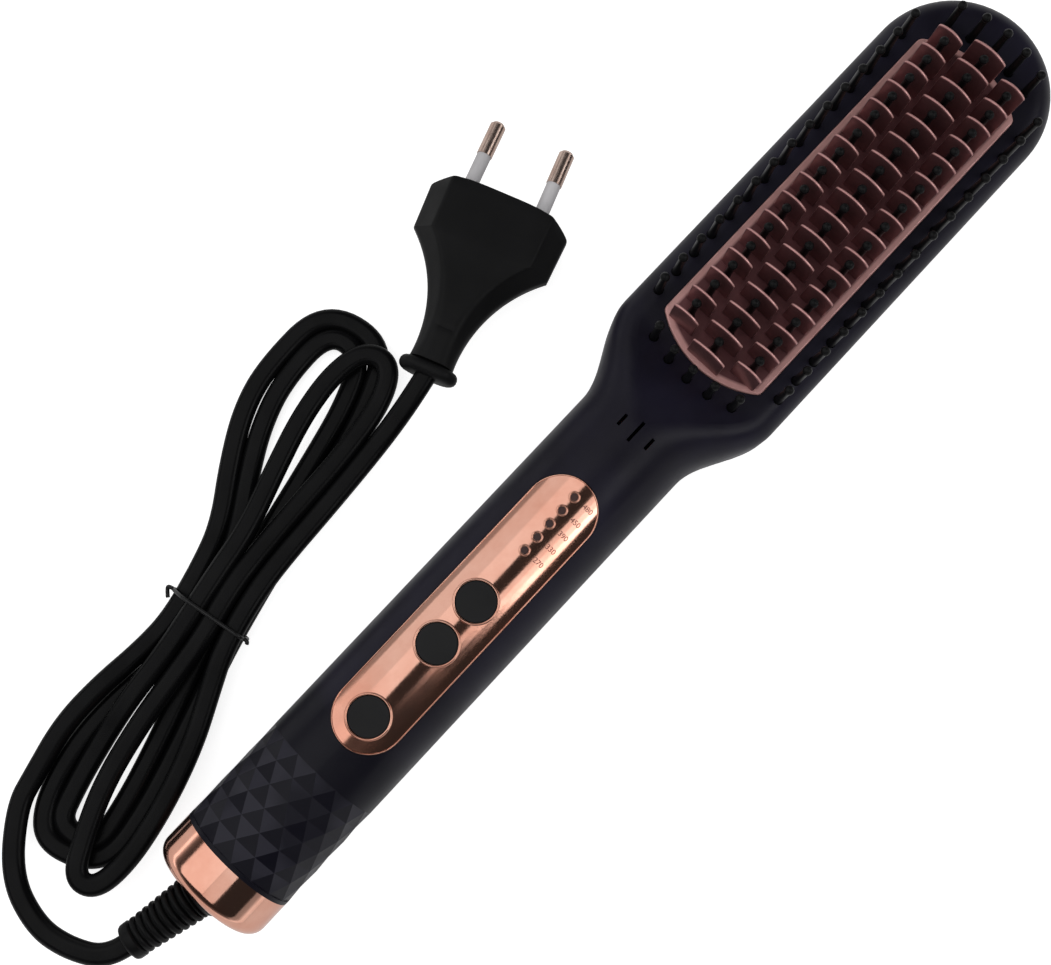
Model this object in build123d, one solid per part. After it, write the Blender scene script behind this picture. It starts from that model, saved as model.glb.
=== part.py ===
from build123d import *
import math
import os

# Overall sizes. The length runs along X, the head at +X, the bristles up.
length = 281.8
handle_diameter = 30.0
head_width = 46.8
head_height = 24.0
wall = 2.0
parting_height = 15.0
section_flat = 0.4

# Neck, where the round handle widens into the flat head
neck_start = 1.1
neck_length = 23.5
neck_stations = 9
back_edge_radius = 9.0
front_edge_radius = 6.0

# End cap and the ball swivel of the cord
cap_length = 10.6
cap_edge_radius = 3.5
cap_wall = 2.0
spigot_length = 3.4
spigot_wall = 1.65
ball_radius = 8.0
ball_depth = 4.0
retainer_reach = 4.5
retainer_length = 2.9
swivel_tilt = 11.7
stem_radius = 2.4
stem_length = 16.6
slip_ring_radius = 3.0
slip_ring_width = 1.6
slip_ring_step = 2.8

# Strain relief on the ball, with its ribs
boot_length = 24.3
boot_start = 4.3
boot_root_radius = 5.5
boot_end_radius = 4.4
boot_collar_length = 3.0
boot_rib_count = 8
boot_rib_height = 0.8

# Faceted grip beside the end cap
facet_count = 16
facet_rings = 7
facet_pitch = 4.45
facet_start = 11.6

# Control panel: power key and two heat keys, then five lamps
panel_near = 46.5
panel_length = 79.2
panel_width = 17.2
panel_thickness = 1.0
panel_proud = 0.2
key_diameter = 9.2
key_places = (54.8, 76.7, 89.4)
key_names = ("power", "minus", "plus")
key_travel = 0.5
key_proud = 0.6
key_flange_radius = 5.7
key_flange_thickness = 1.2
key_post_radius = 1.5
rim_width = 0.5
lamp_count = 5
lamp_first = 105.2
lamp_pitch = 4.1
lamp_diameter = 1.7
lamp_rim_diameter = 2.8

# Comb: plate, fins and ball-tipped pins
comb_centre = 73.8
plate_width = 30.1
plate_half_length = 50.6
plate_bulge = 5.2
plate_corner_radius = 2.0
plate_proud = 0.5
plate_thickness = 1.6
skirt_thickness = 1.3
skirt_depth = 4.1
flange_width = 1.5
fin_pitch = 6.1
fin_thickness = 0.8
fin_top = 36.0
fin_arch = 1.5
side_fin_count = 16
side_fin_width = 7.2
side_fin_offset = 9.6
middle_fin_count = 17
middle_fin_width = 9.4
pin_top = 37.0
pin_root_radius = 1.1
pin_tip_radius = 0.8
pin_ball_radius = 1.15
outer_pin_count = 15
outer_pin_pitch = 6.16
outer_pin_offset = 18.9
arc_pin_count = 5
arc_pin_pitch = 6.1
arc_pin_reach = 54.45
arc_pin_bend = 34.0

# Three vent slots in the neck
slot_middle = 142.2
slot_lengths = ((4.15, 3.2), (0.0, 5.8), (-4.15, 3.2))
slot_width = 0.8

# Inside the head
sheet_thickness = 0.5
board_thickness = 1.8
frame_thickness = 2.0
frame_margin = 5.45
frame_overlap = 1.2
heater_length = 69.0
heater_width = 5.0
heater_thickness = 1.3
heater_offset = 4.8
boss_radius = 2.5
comb_screw_reach = 41.0
sensor_radius = 0.95
cutout_radius = 1.9
lead_height = 13.5
frame_boss_radius = 1.7

# Inside the handle
board_near = 43.0
contact_far = 23.5
board_length = 86.0
board_width = 20.0
circuit_thickness = 1.6
circuit_height = 17.4
switch_size = 6.0
switch_height = 3.1
switch_stem_radius = 1.75
wire_radius = 0.65
sensor_wire_radius = 0.4

# Fasteners
screw_radius = 1.0
screw_head_radius = 1.9
screw_head_height = 1.2
shell_screw_radius = 1.25
shell_screw_head_radius = 2.4
shell_post_radius = 3.0
shell_screw_places = ((-109.9, 0.0), (-4.9, 0.0), (10.6, 9.6), (10.6, -9.6))
circuit_screw_places = ((-92.9, 0.0), (-57.9, 7.6), (-14.9, 0.0))
frame_screw_step = 4.5

# Clearances
slide_clearance = 0.15
running_clearance = 0.3
seat_clearance = 0.05

# Cord, hank and plug
cord_diameter = 4.5
strand_pitch = 5.2
layer_height = 5.1
tie_wire_diameter = 1.0
tie_ear = 2.6
tie_clearance = 0.3
waist_radius = 30.0
waist_half_length = 7.0
hank_centre = (-94.4, 45.0)
hank_angle = 14.5
plug_front = (22.5, 61.8, 7.3)
plug_heading = 20.0
plug_tilt = 5.0
plug_width = 35.3
plug_thickness = 13.7
plug_wide_length = 12.3
plug_length = 43.6
plug_bulge = 2.6
plug_neck_width = 11.2
plug_neck_thickness = 8.4
collar_width = 14.8
collar_length = 4.0
collar_thickness = 8.0
plug_pin_radius = 2.0
plug_pin_length = 19.0
plug_pin_spacing = 18.9
plug_pin_lean = 0.6
sleeve_length = 9.5
sleeve_wall = 0.4
sleeve_step = 0.2
sleeve_root = 5.0

# Values that follow from those above
half_length = length / 2
handle_radius = handle_diameter / 2
axis_height = handle_radius
head_half = head_width / 2
cap_end = -half_length
cap_seam = cap_end + cap_length
neck_end = neck_start + neck_length
tip_centre = half_length - head_half
bore_radius = handle_radius - wall
plate_top = head_height + plate_proud
plate_under = plate_top - plate_thickness
skirt_low = plate_top - skirt_depth
sheet_low = skirt_low - sheet_thickness
board_low = sheet_low - board_thickness
frame_low = skirt_low - frame_thickness
circuit_top = circuit_height + circuit_thickness
key_top = handle_diameter + key_proud
key_radius = key_diameter / 2
key_seat = axis_height + math.sqrt(bore_radius ** 2 - (key_flange_radius + slide_clearance) ** 2)
ball_centre = (cap_end + ball_depth, 0.0, axis_height)
swivel_out = Vector(-math.cos(math.radians(swivel_tilt)), math.sin(math.radians(swivel_tilt)), 0)

os.makedirs("parts", exist_ok=True)


def save(name, solid):
    # Writes one sub-part under its own name.
    export_step(solid, f"parts/{name}.step")


def together(solids):
    # Several separate solids held as one sub-part.
    return Compound(children=list(solids))


def along(x):
    # Distance from the cap end turned into the place along X.
    return x - half_length


def block(x_low, x_high, y_low, y_high, z_low, z_high):
    size = (x_high - x_low, y_high - y_low, z_high - z_low)
    middle = ((x_low + x_high) / 2, (y_low + y_high) / 2, (z_low + z_high) / 2)
    return Pos(*middle) * Box(*size)


def upright(x, y, z_low, z_high, radius):
    # A round bar standing along Z.
    return Pos(x, y, (z_low + z_high) / 2) * Cylinder(radius, z_high - z_low)


def level(x_low, x_high, radius, y=0.0, z=axis_height):
    # A round bar lying along X.
    return Pos((x_low + x_high) / 2, y, z) * Rot(0, 90, 0) * Cylinder(radius, x_high - x_low)


def turned(points, start, direction):
    # A solid turned about the line from start along direction; points are (distance, radius).
    plane = Plane(origin=start, x_dir=direction, z_dir=Vector(direction).cross(Vector(0, 0, 1)))
    with BuildPart() as part:
        with BuildSketch(plane):
            with BuildLine():
                Polyline(*points, close=True)
            make_face()
        revolve(axis=Axis(start, direction))
    return part.part


def section(x, half_width, low, high, low_radius, high_radius):
    # The closed outline across the body at one place along X.
    plane = Plane(origin=(x, 0, 0), x_dir=(0, 1, 0), z_dir=(1, 0, 0))
    diagonal = math.sqrt(0.5)
    low_y = half_width - low_radius
    high_y = half_width - high_radius
    low_z = low + low_radius
    high_z = high - high_radius
    low_far = (low_y + low_radius * diagonal, low_z - low_radius * diagonal)
    high_far = (high_y + high_radius * diagonal, high_z + high_radius * diagonal)
    with BuildSketch(plane) as sketch:
        with BuildLine():
            Line((-low_y, low), (low_y, low))
            ThreePointArc((low_y, low), low_far, (half_width, low_z))
            Line((half_width, low_z), (half_width, high_z))
            ThreePointArc((half_width, high_z), high_far, (high_y, high))
            Line((high_y, high), (-high_y, high))
            ThreePointArc((-high_y, high), (-high_far[0], high_far[1]), (-half_width, high_z))
            Line((-half_width, high_z), (-half_width, low_z))
            ThreePointArc((-half_width, low_z), (-low_far[0], low_far[1]), (-low_y, low))
        make_face()
    return sketch.sketch


def body_section(x, inset):
    # The outline at x, drawn in by the inset: round on the handle, flat and wide on the head.
    part_way = min(max((x - neck_start) / neck_length, 0.0), 1.0)
    blend = part_way * part_way * (3 - 2 * part_way)
    round_radius = handle_radius - section_flat / 2
    half_width = handle_radius + (head_half - handle_radius) * blend
    high = handle_diameter + (head_height - handle_diameter) * blend
    low_radius = round_radius + (back_edge_radius - round_radius) * blend
    high_radius = round_radius + (front_edge_radius - round_radius) * blend
    return section(x, half_width - inset, inset, high - inset, low_radius - inset, high_radius - inset)


def body_solid(inset):
    # The whole handle and head as one solid; with the wall as inset it is the hollow inside.
    handle = extrude(body_section(cap_seam, inset), neck_start - cap_seam)
    places = [neck_start + neck_length * i / (neck_stations - 1) for i in range(neck_stations)]
    neck = loft([body_section(x, inset) for x in places])
    head = extrude(body_section(neck_end, inset), tip_centre - neck_end)
    end_face = body_section(tip_centre, inset) & block(tip_centre - 1, tip_centre + 1, 0, head_width, -1, 60)
    end = revolve(end_face, Axis((tip_centre, 0, 0), (0, 0, -1)), 180)
    return handle + neck + head + end


def plate_outline(offset, z):
    # The comb plate's plan: straight sides and ends that bulge along an arc.
    half = plate_width / 2
    bend = (half ** 2 + plate_bulge ** 2) / (2 * plate_bulge)
    arc_centre = plate_half_length - bend
    side = half + offset
    corner = arc_centre + math.sqrt((bend + offset) ** 2 - side ** 2)
    apex = plate_half_length + offset
    with BuildSketch(Plane(origin=(comb_centre, 0, z))) as sketch:
        with BuildLine():
            Line((-corner, side), (corner, side))
            ThreePointArc((corner, side), (apex, 0), (corner, -side))
            Line((corner, -side), (-corner, -side))
            ThreePointArc((-corner, -side), (-apex, 0), (-corner, side))
        make_face()
        fillet(sketch.vertices(), max(plate_corner_radius + offset, 0.6))
    return sketch.sketch


def plate_slab(offset, z_low, z_high):
    return extrude(plate_outline(offset, z_low), z_high - z_low)


def inner_pin_places():
    # One pin in the middle of each gap of each column of fins.
    places = []
    for count, y in ((side_fin_count, side_fin_offset), (middle_fin_count, 0.0), (side_fin_count, -side_fin_offset)):
        for i in range(count - 1):
            places.append((comb_centre + fin_pitch * (i - (count - 2) / 2), y))
    return places


def outer_pin_places():
    # A row along each side and an arc at each end.
    places = []
    for side in (1, -1):
        for i in range(outer_pin_count):
            x = comb_centre + outer_pin_pitch * (i - (outer_pin_count - 1) / 2)
            places.append((x, side * outer_pin_offset))
        for i in range(arc_pin_count):
            y = arc_pin_pitch * (i - (arc_pin_count - 1) / 2)
            sag = arc_pin_bend - math.sqrt(arc_pin_bend ** 2 - y ** 2)
            places.append((comb_centre + side * (arc_pin_reach - sag), y))
    return places


def bristle(x, y, foot):
    # One moulded pin: a slim cone with a ball on its end.
    neck_height = pin_top - 2 * pin_ball_radius
    with BuildPart() as part:
        with BuildSketch(Plane(origin=(x, y, 0), x_dir=(1, 0, 0), z_dir=(0, -1, 0))):
            with BuildLine():
                neck_radius = pin_tip_radius
                meet = pin_top - pin_ball_radius - math.sqrt(pin_ball_radius ** 2 - neck_radius ** 2)
                Line((0, pin_top), (0, foot))
                Line((0, foot), (pin_root_radius, foot))
                Line((pin_root_radius, foot), (neck_radius, meet))
                ThreePointArc((neck_radius, meet), (pin_ball_radius, pin_top - pin_ball_radius), (0, pin_top))
            make_face()
        revolve(axis=Axis((x, y, neck_height), (0, 0, 1)))
    return part.part


def hole_rows(places, radius, z_low, z_high):
    return [upright(x, y, z_low, z_high, radius) for x, y in places]


def key_xs():
    return [along(s) for s in key_places]


def lamp_xs():
    return [along(lamp_first + lamp_pitch * i) for i in range(lamp_count)]


def panel_prism(grow, z_low, z_high):
    # The panel's plan, a bar with round ends, as an upright solid.
    middle = along(panel_near + panel_length / 2)
    with BuildSketch(Plane(origin=(middle, 0, z_low))) as sketch:
        SlotOverall(panel_length + 2 * grow, panel_width + 2 * grow)
    return extrude(sketch.sketch, z_high - z_low)


def faceted_band():
    # The grip: rings of triangles whose corners lie on the handle, each ring turned half a step.
    rings = []
    for ring in range(facet_rings):
        x = along(facet_start + facet_pitch * ring)
        turn = 0.5 * (ring % 2)
        corners = []
        for i in range(facet_count):
            angle = 2 * math.pi * (i + turn) / facet_count
            corners.append((x, handle_radius * math.cos(angle), axis_height + handle_radius * math.sin(angle)))
        rings.append(corners)
    faces = [Face(Wire.make_polygon(rings[0], close=True)), Face(Wire.make_polygon(rings[-1], close=True))]
    for ring in range(facet_rings - 1):
        near, far = rings[ring], rings[ring + 1]
        shift = ring % 2
        for i in range(facet_count):
            before = far[(i - 1 + shift) % facet_count]
            after = far[(i + shift) % facet_count]
            faces.append(Face(Wire.make_polygon([near[i], near[(i + 1) % facet_count], after], close=True)))
            faces.append(Face(Wire.make_polygon([before, after, near[i]], close=True)))
    return Solid(Shell(faces))


def shell_pair():
    # The hollow body with its faceted grip, cut into front and back at the parting height.
    hollow = body_solid(wall)
    band_near = along(facet_start)
    band_far = along(facet_start + facet_pitch * (facet_rings - 1))
    outer = body_solid(0.0)
    outer -= block(band_near, band_far, -head_half, head_half, -1, handle_diameter + 1)
    outer += faceted_band()
    skin = outer - hollow
    reach = half_length + 5
    front = skin & block(-reach, reach, -head_width, head_width, parting_height, 60)
    back = skin & block(-reach, reach, -head_width, head_width, -5, parting_height)
    return front, back


def make_front_shell(shell):
    # Front half: comb opening, bristle holes, panel pocket, key and lamp holes, bosses.
    inside = body_solid(wall / 2)
    bosses = []
    for x in key_xs():
        bosses.append(upright(x, 0, key_seat, handle_diameter, key_radius + 2.0))
    for x, y in shell_screw_places:
        bosses.append(upright(x, y, parting_height, handle_diameter, shell_post_radius))
    for x, y in frame_screw_places():
        bosses.append(upright(x, y, skirt_low, head_height, frame_boss_radius))
    for boss in bosses:
        shell += boss & inside
    cuts = [plate_slab(slide_clearance, skirt_low + 1.5, handle_diameter)]
    cuts += hole_rows(outer_pin_places(), pin_ball_radius + seat_clearance, skirt_low, handle_diameter)
    pocket_floor = handle_radius + panel_proud - panel_thickness - seat_clearance
    ring = level(along(panel_near - 2), along(panel_near + panel_length + 2), handle_radius + 2)
    ring -= level(along(panel_near - 3), along(panel_near + panel_length + 3), pocket_floor)
    cuts.append(ring & panel_prism(slide_clearance, axis_height + 5, handle_diameter + 5))
    for x in key_xs():
        cuts.append(upright(x, 0, key_seat - 1, handle_diameter + 1, key_radius + slide_clearance))
    for x in lamp_xs():
        cuts.append(upright(x, 0, axis_height + 5, handle_diameter + 1, lamp_diameter / 2 + 0.1))
    for y, slot_length in slot_lengths:
        cuts.append(block(along(slot_middle) - slot_length / 2, along(slot_middle) + slot_length / 2, y - slot_width / 2, y + slot_width / 2,
                          20, 31))
    for x, y in shell_screw_places:
        cuts.append(upright(x, y, parting_height - 1, parting_height + 9, shell_screw_radius + seat_clearance))
    for x, y in frame_screw_places():
        cuts.append(upright(x, y, skirt_low - 1, head_height - 1.2, 0.8 + seat_clearance))
    for cut in cuts:
        shell -= cut
    return shell


def make_back_shell(shell):
    # Back half: screw tubes with countersunk mouths, posts for the circuit board.
    inside = body_solid(wall / 2)
    for x, y in shell_screw_places:
        shell += upright(x, y, 0, parting_height, shell_post_radius + 0.6) & inside
    for x, y in circuit_screw_places:
        shell += upright(x, y, 0, circuit_height, screw_radius + 1.4) & inside
    for x, y in shell_screw_places:
        shell -= upright(x, y, -1, parting_height - 3, shell_screw_head_radius + 0.2)
        shell -= upright(x, y, -1, parting_height + 1, shell_screw_radius + seat_clearance)
    for x, y in circuit_screw_places:
        shell -= upright(x, y, circuit_height - 7, circuit_height + 1, screw_radius + seat_clearance)
    return shell


def frame_screw_places():
    # Between the outer pins, four in all.
    reach = outer_pin_pitch * frame_screw_step
    return [(comb_centre + i * reach, j * (outer_pin_offset - 0.1)) for i in (1, -1) for j in (1, -1)]


def comb_screw_places():
    return [(comb_centre + i * comb_screw_reach, j * heater_offset) for i in (1, -1) for j in (1, -1)]


def make_comb_plate():
    # Cast comb: tray with a flange under the frame, fins on its face, holes for the bristles.
    plate = plate_slab(0.0, skirt_low, plate_top)
    plate -= plate_slab(-skirt_thickness, skirt_low - 1, plate_under)
    plate += plate_slab(flange_width, skirt_low, head_height - wall) - plate_slab(-skirt_thickness, skirt_low - 1, head_height)
    for x, y in comb_screw_places():
        plate += upright(x, y, skirt_low, plate_under + 0.2, boss_radius)
    for count, y, width in ((side_fin_count, side_fin_offset, side_fin_width),
                            (middle_fin_count, 0.0, middle_fin_width),
                            (side_fin_count, -side_fin_offset, side_fin_width)):
        for i in range(count):
            plate += fin(comb_centre + fin_pitch * (i - (count - 1) / 2), y, width)
    for x, y in inner_pin_places():
        plate -= upright(x, y, plate_under - 1, plate_top + 1, pin_ball_radius + 0.1)
    for x, y in comb_screw_places():
        plate -= upright(x, y, skirt_low - 1, plate_under + 0.7, screw_radius - 0.2 + seat_clearance)
    return plate


def fin(x, y, width):
    # One upright fin with an arched top.
    half = width / 2
    with BuildSketch(Plane(origin=(x - fin_thickness / 2, y, 0), x_dir=(0, 1, 0), z_dir=(1, 0, 0))) as sketch:
        with BuildLine():
            Polyline((half, fin_top - fin_arch), (half, plate_top - 0.4), (-half, plate_top - 0.4), (-half, fin_top - fin_arch))
            ThreePointArc((-half, fin_top - fin_arch), (0, fin_top), (half, fin_top - fin_arch))
        make_face()
    return extrude(sketch.sketch, fin_thickness)


def make_inner_board():
    # Board under the comb that carries the inner pins.
    board = plate_slab(0.0, board_low, sheet_low)
    board += [bristle(x, y, board_low + 0.5) for x, y in inner_pin_places()]
    for x, y in comb_screw_places():
        board -= upright(x, y, board_low - 1, sheet_low + 1, screw_radius)
    return board - wire_holes(board_low - 1, sheet_low + 1)


def make_sheet():
    # Thin heat-proof sheet between the board and the comb.
    sheet = plate_slab(0.0, sheet_low, skirt_low)
    for x, y in inner_pin_places():
        sheet -= upright(x, y, sheet_low - 1, skirt_low + 1, pin_root_radius + 0.1)
    for x, y in comb_screw_places():
        sheet -= upright(x, y, sheet_low - 1, skirt_low + 1, screw_radius)
    return sheet - wire_holes(sheet_low - 1, skirt_low + 1)


def heater_near():
    return comb_centre - heater_length / 2


def wire_holes(z_low, z_high):
    holes = [upright(heater_near() - 1.1, side * heater_offset, z_low, z_high, wire_radius + 0.3) for side in (1, -1)]
    holes.append(upright(comb_centre, 0, z_low, z_high, 1.3))
    return holes


def make_outer_frame():
    # Ring under the front shell that carries the outer pins and holds up the comb's flange.
    frame = plate_slab(frame_margin, frame_low, skirt_low)
    frame -= plate_slab(flange_width - frame_overlap, frame_low - 1, skirt_low + 1)
    frame += [bristle(x, y, frame_low + 0.5) for x, y in outer_pin_places()]
    for x, y in frame_screw_places():
        frame -= upright(x, y, frame_low - 1, skirt_low + 1, 0.95)
    return frame


def make_heaters():
    near = heater_near()
    far = near + heater_length
    strips = []
    pads = []
    pad_top = plate_under - heater_thickness
    for side in (1, -1):
        low = side * heater_offset - heater_width / 2
        strips.append(block(near, far, low, low + heater_width, pad_top, plate_under))
        pads.append(block(near, far, low, low + heater_width, skirt_low, pad_top))
    return together(strips), together(pads)


def tube_along(path, radius):
    return sweep(Plane(origin=path @ 0, z_dir=path % 0) * Circle(radius), path=path)


def wire(points, radii, radius):
    # A round wire along straight runs and tangent arcs.
    return tube_along(FilletPolyline(*points, radius=radii), radius)


def make_heater_leads():
    x = heater_near() - 1.1
    wires = []
    for side in (1, -1):
        y = side * heater_offset
        land = along(board_near + board_length) - 3
        points = [(x, y, plate_under - 1), (x, y, lead_height), (land, y, lead_height), (land, y, circuit_height)]
        wires.append(wire(points, [3.0, 2.5], wire_radius))
    return together(wires)


def make_sensor_leads():
    wires = []
    for side in (1, -1):
        y = side * 0.6
        far = 4.9 + side * 0.5
        land = along(board_near + board_length) - 4
        points = [(comb_centre, y, plate_under - 2 * sensor_radius - 0.1), (comb_centre, y, 9.0),
                  (comb_centre - 14, far, 9.0), (land, far, 9.0), (land, far, circuit_height)]
        wires.append(wire(points, [3.0, 8.0, 2.5], sensor_wire_radius))
    return together(wires)


def make_mains_leads():
    wires = []
    for side in (1, -1):
        y = side * 6.0
        land = along(board_near) + 4
        points = [(along(contact_far), y, 13.0), (land, y, 13.0), (land, y, circuit_height)]
        wires.append(wire(points, [3.0], wire_radius + 0.1))
    return together(wires)


def screw(x, y, seat, down, shank_length, shank_radius, head_radius, head_height):
    # A pan-head screw; its head stands below the seat when down is -1 and above it when down is 1.
    head = sorted((seat, seat + down * head_height))
    shank = sorted((seat, seat - down * shank_length))
    return upright(x, y, head[0], head[1], head_radius) + upright(x, y, shank[0], shank[1], shank_radius)


def make_screws():
    shell_screws = [screw(x, y, parting_height - 3, -1, 10.0, shell_screw_radius, shell_screw_head_radius, 2.0)
                    for x, y in shell_screw_places]
    circuit_screws = [screw(x, y, circuit_top, 1, 7.0, screw_radius, screw_head_radius, screw_head_height)
                      for x, y in circuit_screw_places]
    comb_screws = [screw(x, y, board_low, -1, 4.8, screw_radius - 0.2, screw_head_radius, screw_head_height)
                   for x, y in comb_screw_places()]
    frame_screws = [screw(x, y, frame_low, -1, 3.9, 0.8, 1.5, 1.0) for x, y in frame_screw_places()]
    return together(shell_screws), together(circuit_screws), together(comb_screws), together(frame_screws)


def make_end_cap():
    # Cap with a round edge, a spherical seat for the ball and a spigot in the handle's bore.
    profile_radius = handle_radius
    with BuildPart() as part:
        with BuildSketch(Plane(origin=(cap_end, 0, axis_height), x_dir=(1, 0, 0), z_dir=(0, -1, 0))):
            with BuildLine():
                edge = cap_edge_radius
                bend = edge * (1 - math.sqrt(0.5))
                inner = bore_radius - slide_clearance
                Polyline((0, profile_radius - edge), (0, 0), (cap_length + spigot_length, 0),
                         (cap_length + spigot_length, inner), (cap_length, inner), (cap_length, profile_radius),
                         (edge, profile_radius))
                ThreePointArc((edge, profile_radius), (bend, profile_radius - bend), (0, profile_radius - edge))
            make_face()
        revolve(axis=Axis((cap_end, 0, axis_height), (1, 0, 0)))
    cavity = bore_radius - slide_clearance - spigot_wall
    cap = part.part - level(cap_end + cap_wall, cap_seam + spigot_length + 1, cavity)
    return cap - Pos(*ball_centre) * Sphere(ball_radius + slide_clearance)


def make_retainer():
    # Ring pressed into the cap behind the ball.
    seat = ball_radius + slide_clearance
    near = retainer_reach
    far = near + retainer_length
    mouth = math.sqrt(seat ** 2 - near ** 2)
    rim = bore_radius - slide_clearance - spigot_wall - seat_clearance
    throat = stem_radius + 2.2
    back = math.sqrt(seat ** 2 - throat ** 2)
    middle = (near + back) / 2
    with BuildPart() as part:
        with BuildSketch(Plane(origin=ball_centre, x_dir=(1, 0, 0), z_dir=(0, -1, 0))):
            with BuildLine():
                Polyline((back, throat), (far, throat), (far, rim), (near, rim), (near, mouth))
                ThreePointArc((near, mouth), (middle, math.sqrt(seat ** 2 - middle ** 2)), (back, throat))
            make_face()
        revolve(axis=Axis(ball_centre, (1, 0, 0)))
    return part.part


def swivel_point(distance):
    return Vector(*ball_centre) + swivel_out * distance


def make_swivel():
    # Ball with its stem, two slip rings on the stem, and the ribbed boot, whose root sits in a pocket of the ball.
    ball = Pos(*ball_centre) * Sphere(ball_radius)
    pocket_radius = boot_root_radius - running_clearance
    root_radius = pocket_radius - running_clearance
    shoulder = math.sqrt(ball_radius ** 2 - pocket_radius ** 2) + seat_clearance
    ball -= turned([(boot_start, 0), (boot_start, pocket_radius), (ball_radius + 1, pocket_radius), (ball_radius + 1, 0)],
                   ball_centre, swivel_out)
    ball += turned([(0, 0), (0, stem_radius), (-stem_length, stem_radius), (-stem_length, 0)], ball_centre, swivel_out)
    rings = []
    for i in range(2):
        near = -(stem_length - 1 - slip_ring_step * i)
        rings.append(turned([(near, stem_radius), (near, slip_ring_radius), (near + slip_ring_width, slip_ring_radius),
                             (near + slip_ring_width, stem_radius)], ball_centre, swivel_out))
    rib_start = shoulder + 0.8
    ribbed = boot_length - boot_collar_length - rib_start
    pitch = ribbed / boot_rib_count
    outline = [(boot_start, 0), (boot_start, root_radius), (shoulder, root_radius), (shoulder, boot_root_radius),
               (rib_start, boot_root_radius)]
    for i in range(boot_rib_count):
        near = rib_start + pitch * i
        radius = boot_root_radius + (boot_end_radius - boot_root_radius) * i / boot_rib_count
        groove = radius - boot_rib_height
        outline += [(near + 0.15 * pitch, groove), (near + 0.35 * pitch, groove), (near + 0.5 * pitch, radius), (near + pitch, radius)]
    outline += [(boot_length, boot_end_radius), (boot_length, 0)]
    boot = turned(outline, ball_centre, swivel_out)
    return ball, together(rings), boot


def make_contact_block():
    # Disc in the handle's bore that carries the mains contacts round the swivel's stem.
    near = cap_seam + spigot_length + 0.2
    disc = level(near, along(contact_far), bore_radius - 0.1)
    reach = -(stem_length + 0.6)
    return disc - turned([(0, 0), (0, slip_ring_radius + running_clearance), (reach, slip_ring_radius + running_clearance),
                          (reach, 0)], ball_centre, swivel_out)


def make_panel():
    # Plated strip, curved like the handle, with a raised rim round each key and lamp.
    outer = handle_radius + panel_proud
    near = along(panel_near - 1)
    far = along(panel_near + panel_length + 1)
    prism = panel_prism(0.0, axis_height + 5, handle_diameter + 5)
    strip = (level(near, far, outer) - level(near - 1, far + 1, outer - panel_thickness)) & prism
    rims = []
    for x in key_xs():
        rims.append(upright(x, 0, handle_diameter - 2.2, handle_diameter + panel_proud + 0.25, key_radius + slide_clearance + rim_width))
    for x in lamp_xs():
        rims.append(upright(x, 0, handle_diameter - 0.6, handle_diameter + panel_proud + 0.2, lamp_rim_diameter / 2))
    core = level(near - 1, far + 1, outer - panel_thickness)
    for rim in rims:
        strip += rim - core
    for x in key_xs():
        strip -= upright(x, 0, axis_height, handle_diameter + 3, key_radius + slide_clearance)
    for x in lamp_xs():
        strip -= upright(x, 0, axis_height, handle_diameter + 3, lamp_diameter / 2 + seat_clearance)
    return strip


def make_keys():
    # Each key: cap with a flange under the shell and a post down to its switch.
    keys = []
    stems = []
    flange_top = key_seat - seat_clearance
    flange_low = flange_top - key_flange_thickness
    stem_top = circuit_top + switch_height + 1.9
    for x in key_xs():
        key = upright(x, 0, flange_low, key_top, key_radius)
        key += upright(x, 0, flange_low, flange_top, key_flange_radius)
        key += upright(x, 0, stem_top, flange_low, key_post_radius)
        keys.append(key)
        stems.append(upright(x, 0, circuit_top + switch_height - 1.6, stem_top, switch_stem_radius))
    return keys, stems


def make_switches():
    bodies = []
    half = switch_size / 2
    for x in key_xs():
        body = block(x - half, x + half, -half, half, circuit_top, circuit_top + switch_height)
        bodies.append(body - upright(x, 0, circuit_top + 0.7, circuit_top + 4, switch_stem_radius + slide_clearance))
    return together(bodies)


def make_light_guide():
    # Clear strip under the shell with one round window for each lamp.
    xs = lamp_xs()
    bar_top = axis_height + math.sqrt(bore_radius ** 2 - 2.0 ** 2) - seat_clearance
    guide = block(xs[0] - 2.5, xs[-1] + 2.5, -2, 2, bar_top - 1.4, bar_top)
    for x in xs:
        guide += upright(x, 0, bar_top - 0.5, handle_diameter + 0.1, lamp_diameter / 2)
        guide += upright(x, 0, circuit_top + 1.1, bar_top - 1, 0.8)
    return guide


def make_circuit():
    # Circuit board and what is soldered to it.
    near = along(board_near)
    far = near + board_length
    board = block(near, far, -board_width / 2, board_width / 2, circuit_height, circuit_top)
    for x, y in circuit_screw_places:
        board -= upright(x, y, circuit_height - 1, circuit_top + 1, screw_radius + 0.1)
    lamps = together([block(x - 0.8, x + 0.8, -0.4, 0.4, circuit_top, circuit_top + 0.8) for x in lamp_xs()])
    chip = block(near + 18, near + 25, 3.2, 8.2, circuit_top, circuit_top + 1.5)
    triac = block(near + 54.5, near + 59, -8.5, -4, circuit_top, circuit_top + 4.5)
    capacitor = fillet(block(near + 14, near + 27, -3, 3, circuit_height - 10, circuit_height).edges(), 0.8)
    fuse = level(near + 48, near + 58, 1.8, 0, circuit_height - 1.8)
    return board, lamps, chip, triac, capacitor, fuse


def make_sensors():
    bead = level(comb_centre - 1.6, comb_centre + 1.6, sensor_radius, 0, plate_under - sensor_radius - seat_clearance)
    beside = heater_offset - wire_radius - cutout_radius - seat_clearance
    cutout = level(heater_near() - 18, heater_near() - 7, cutout_radius, beside, lead_height)
    return bead, cutout


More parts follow.
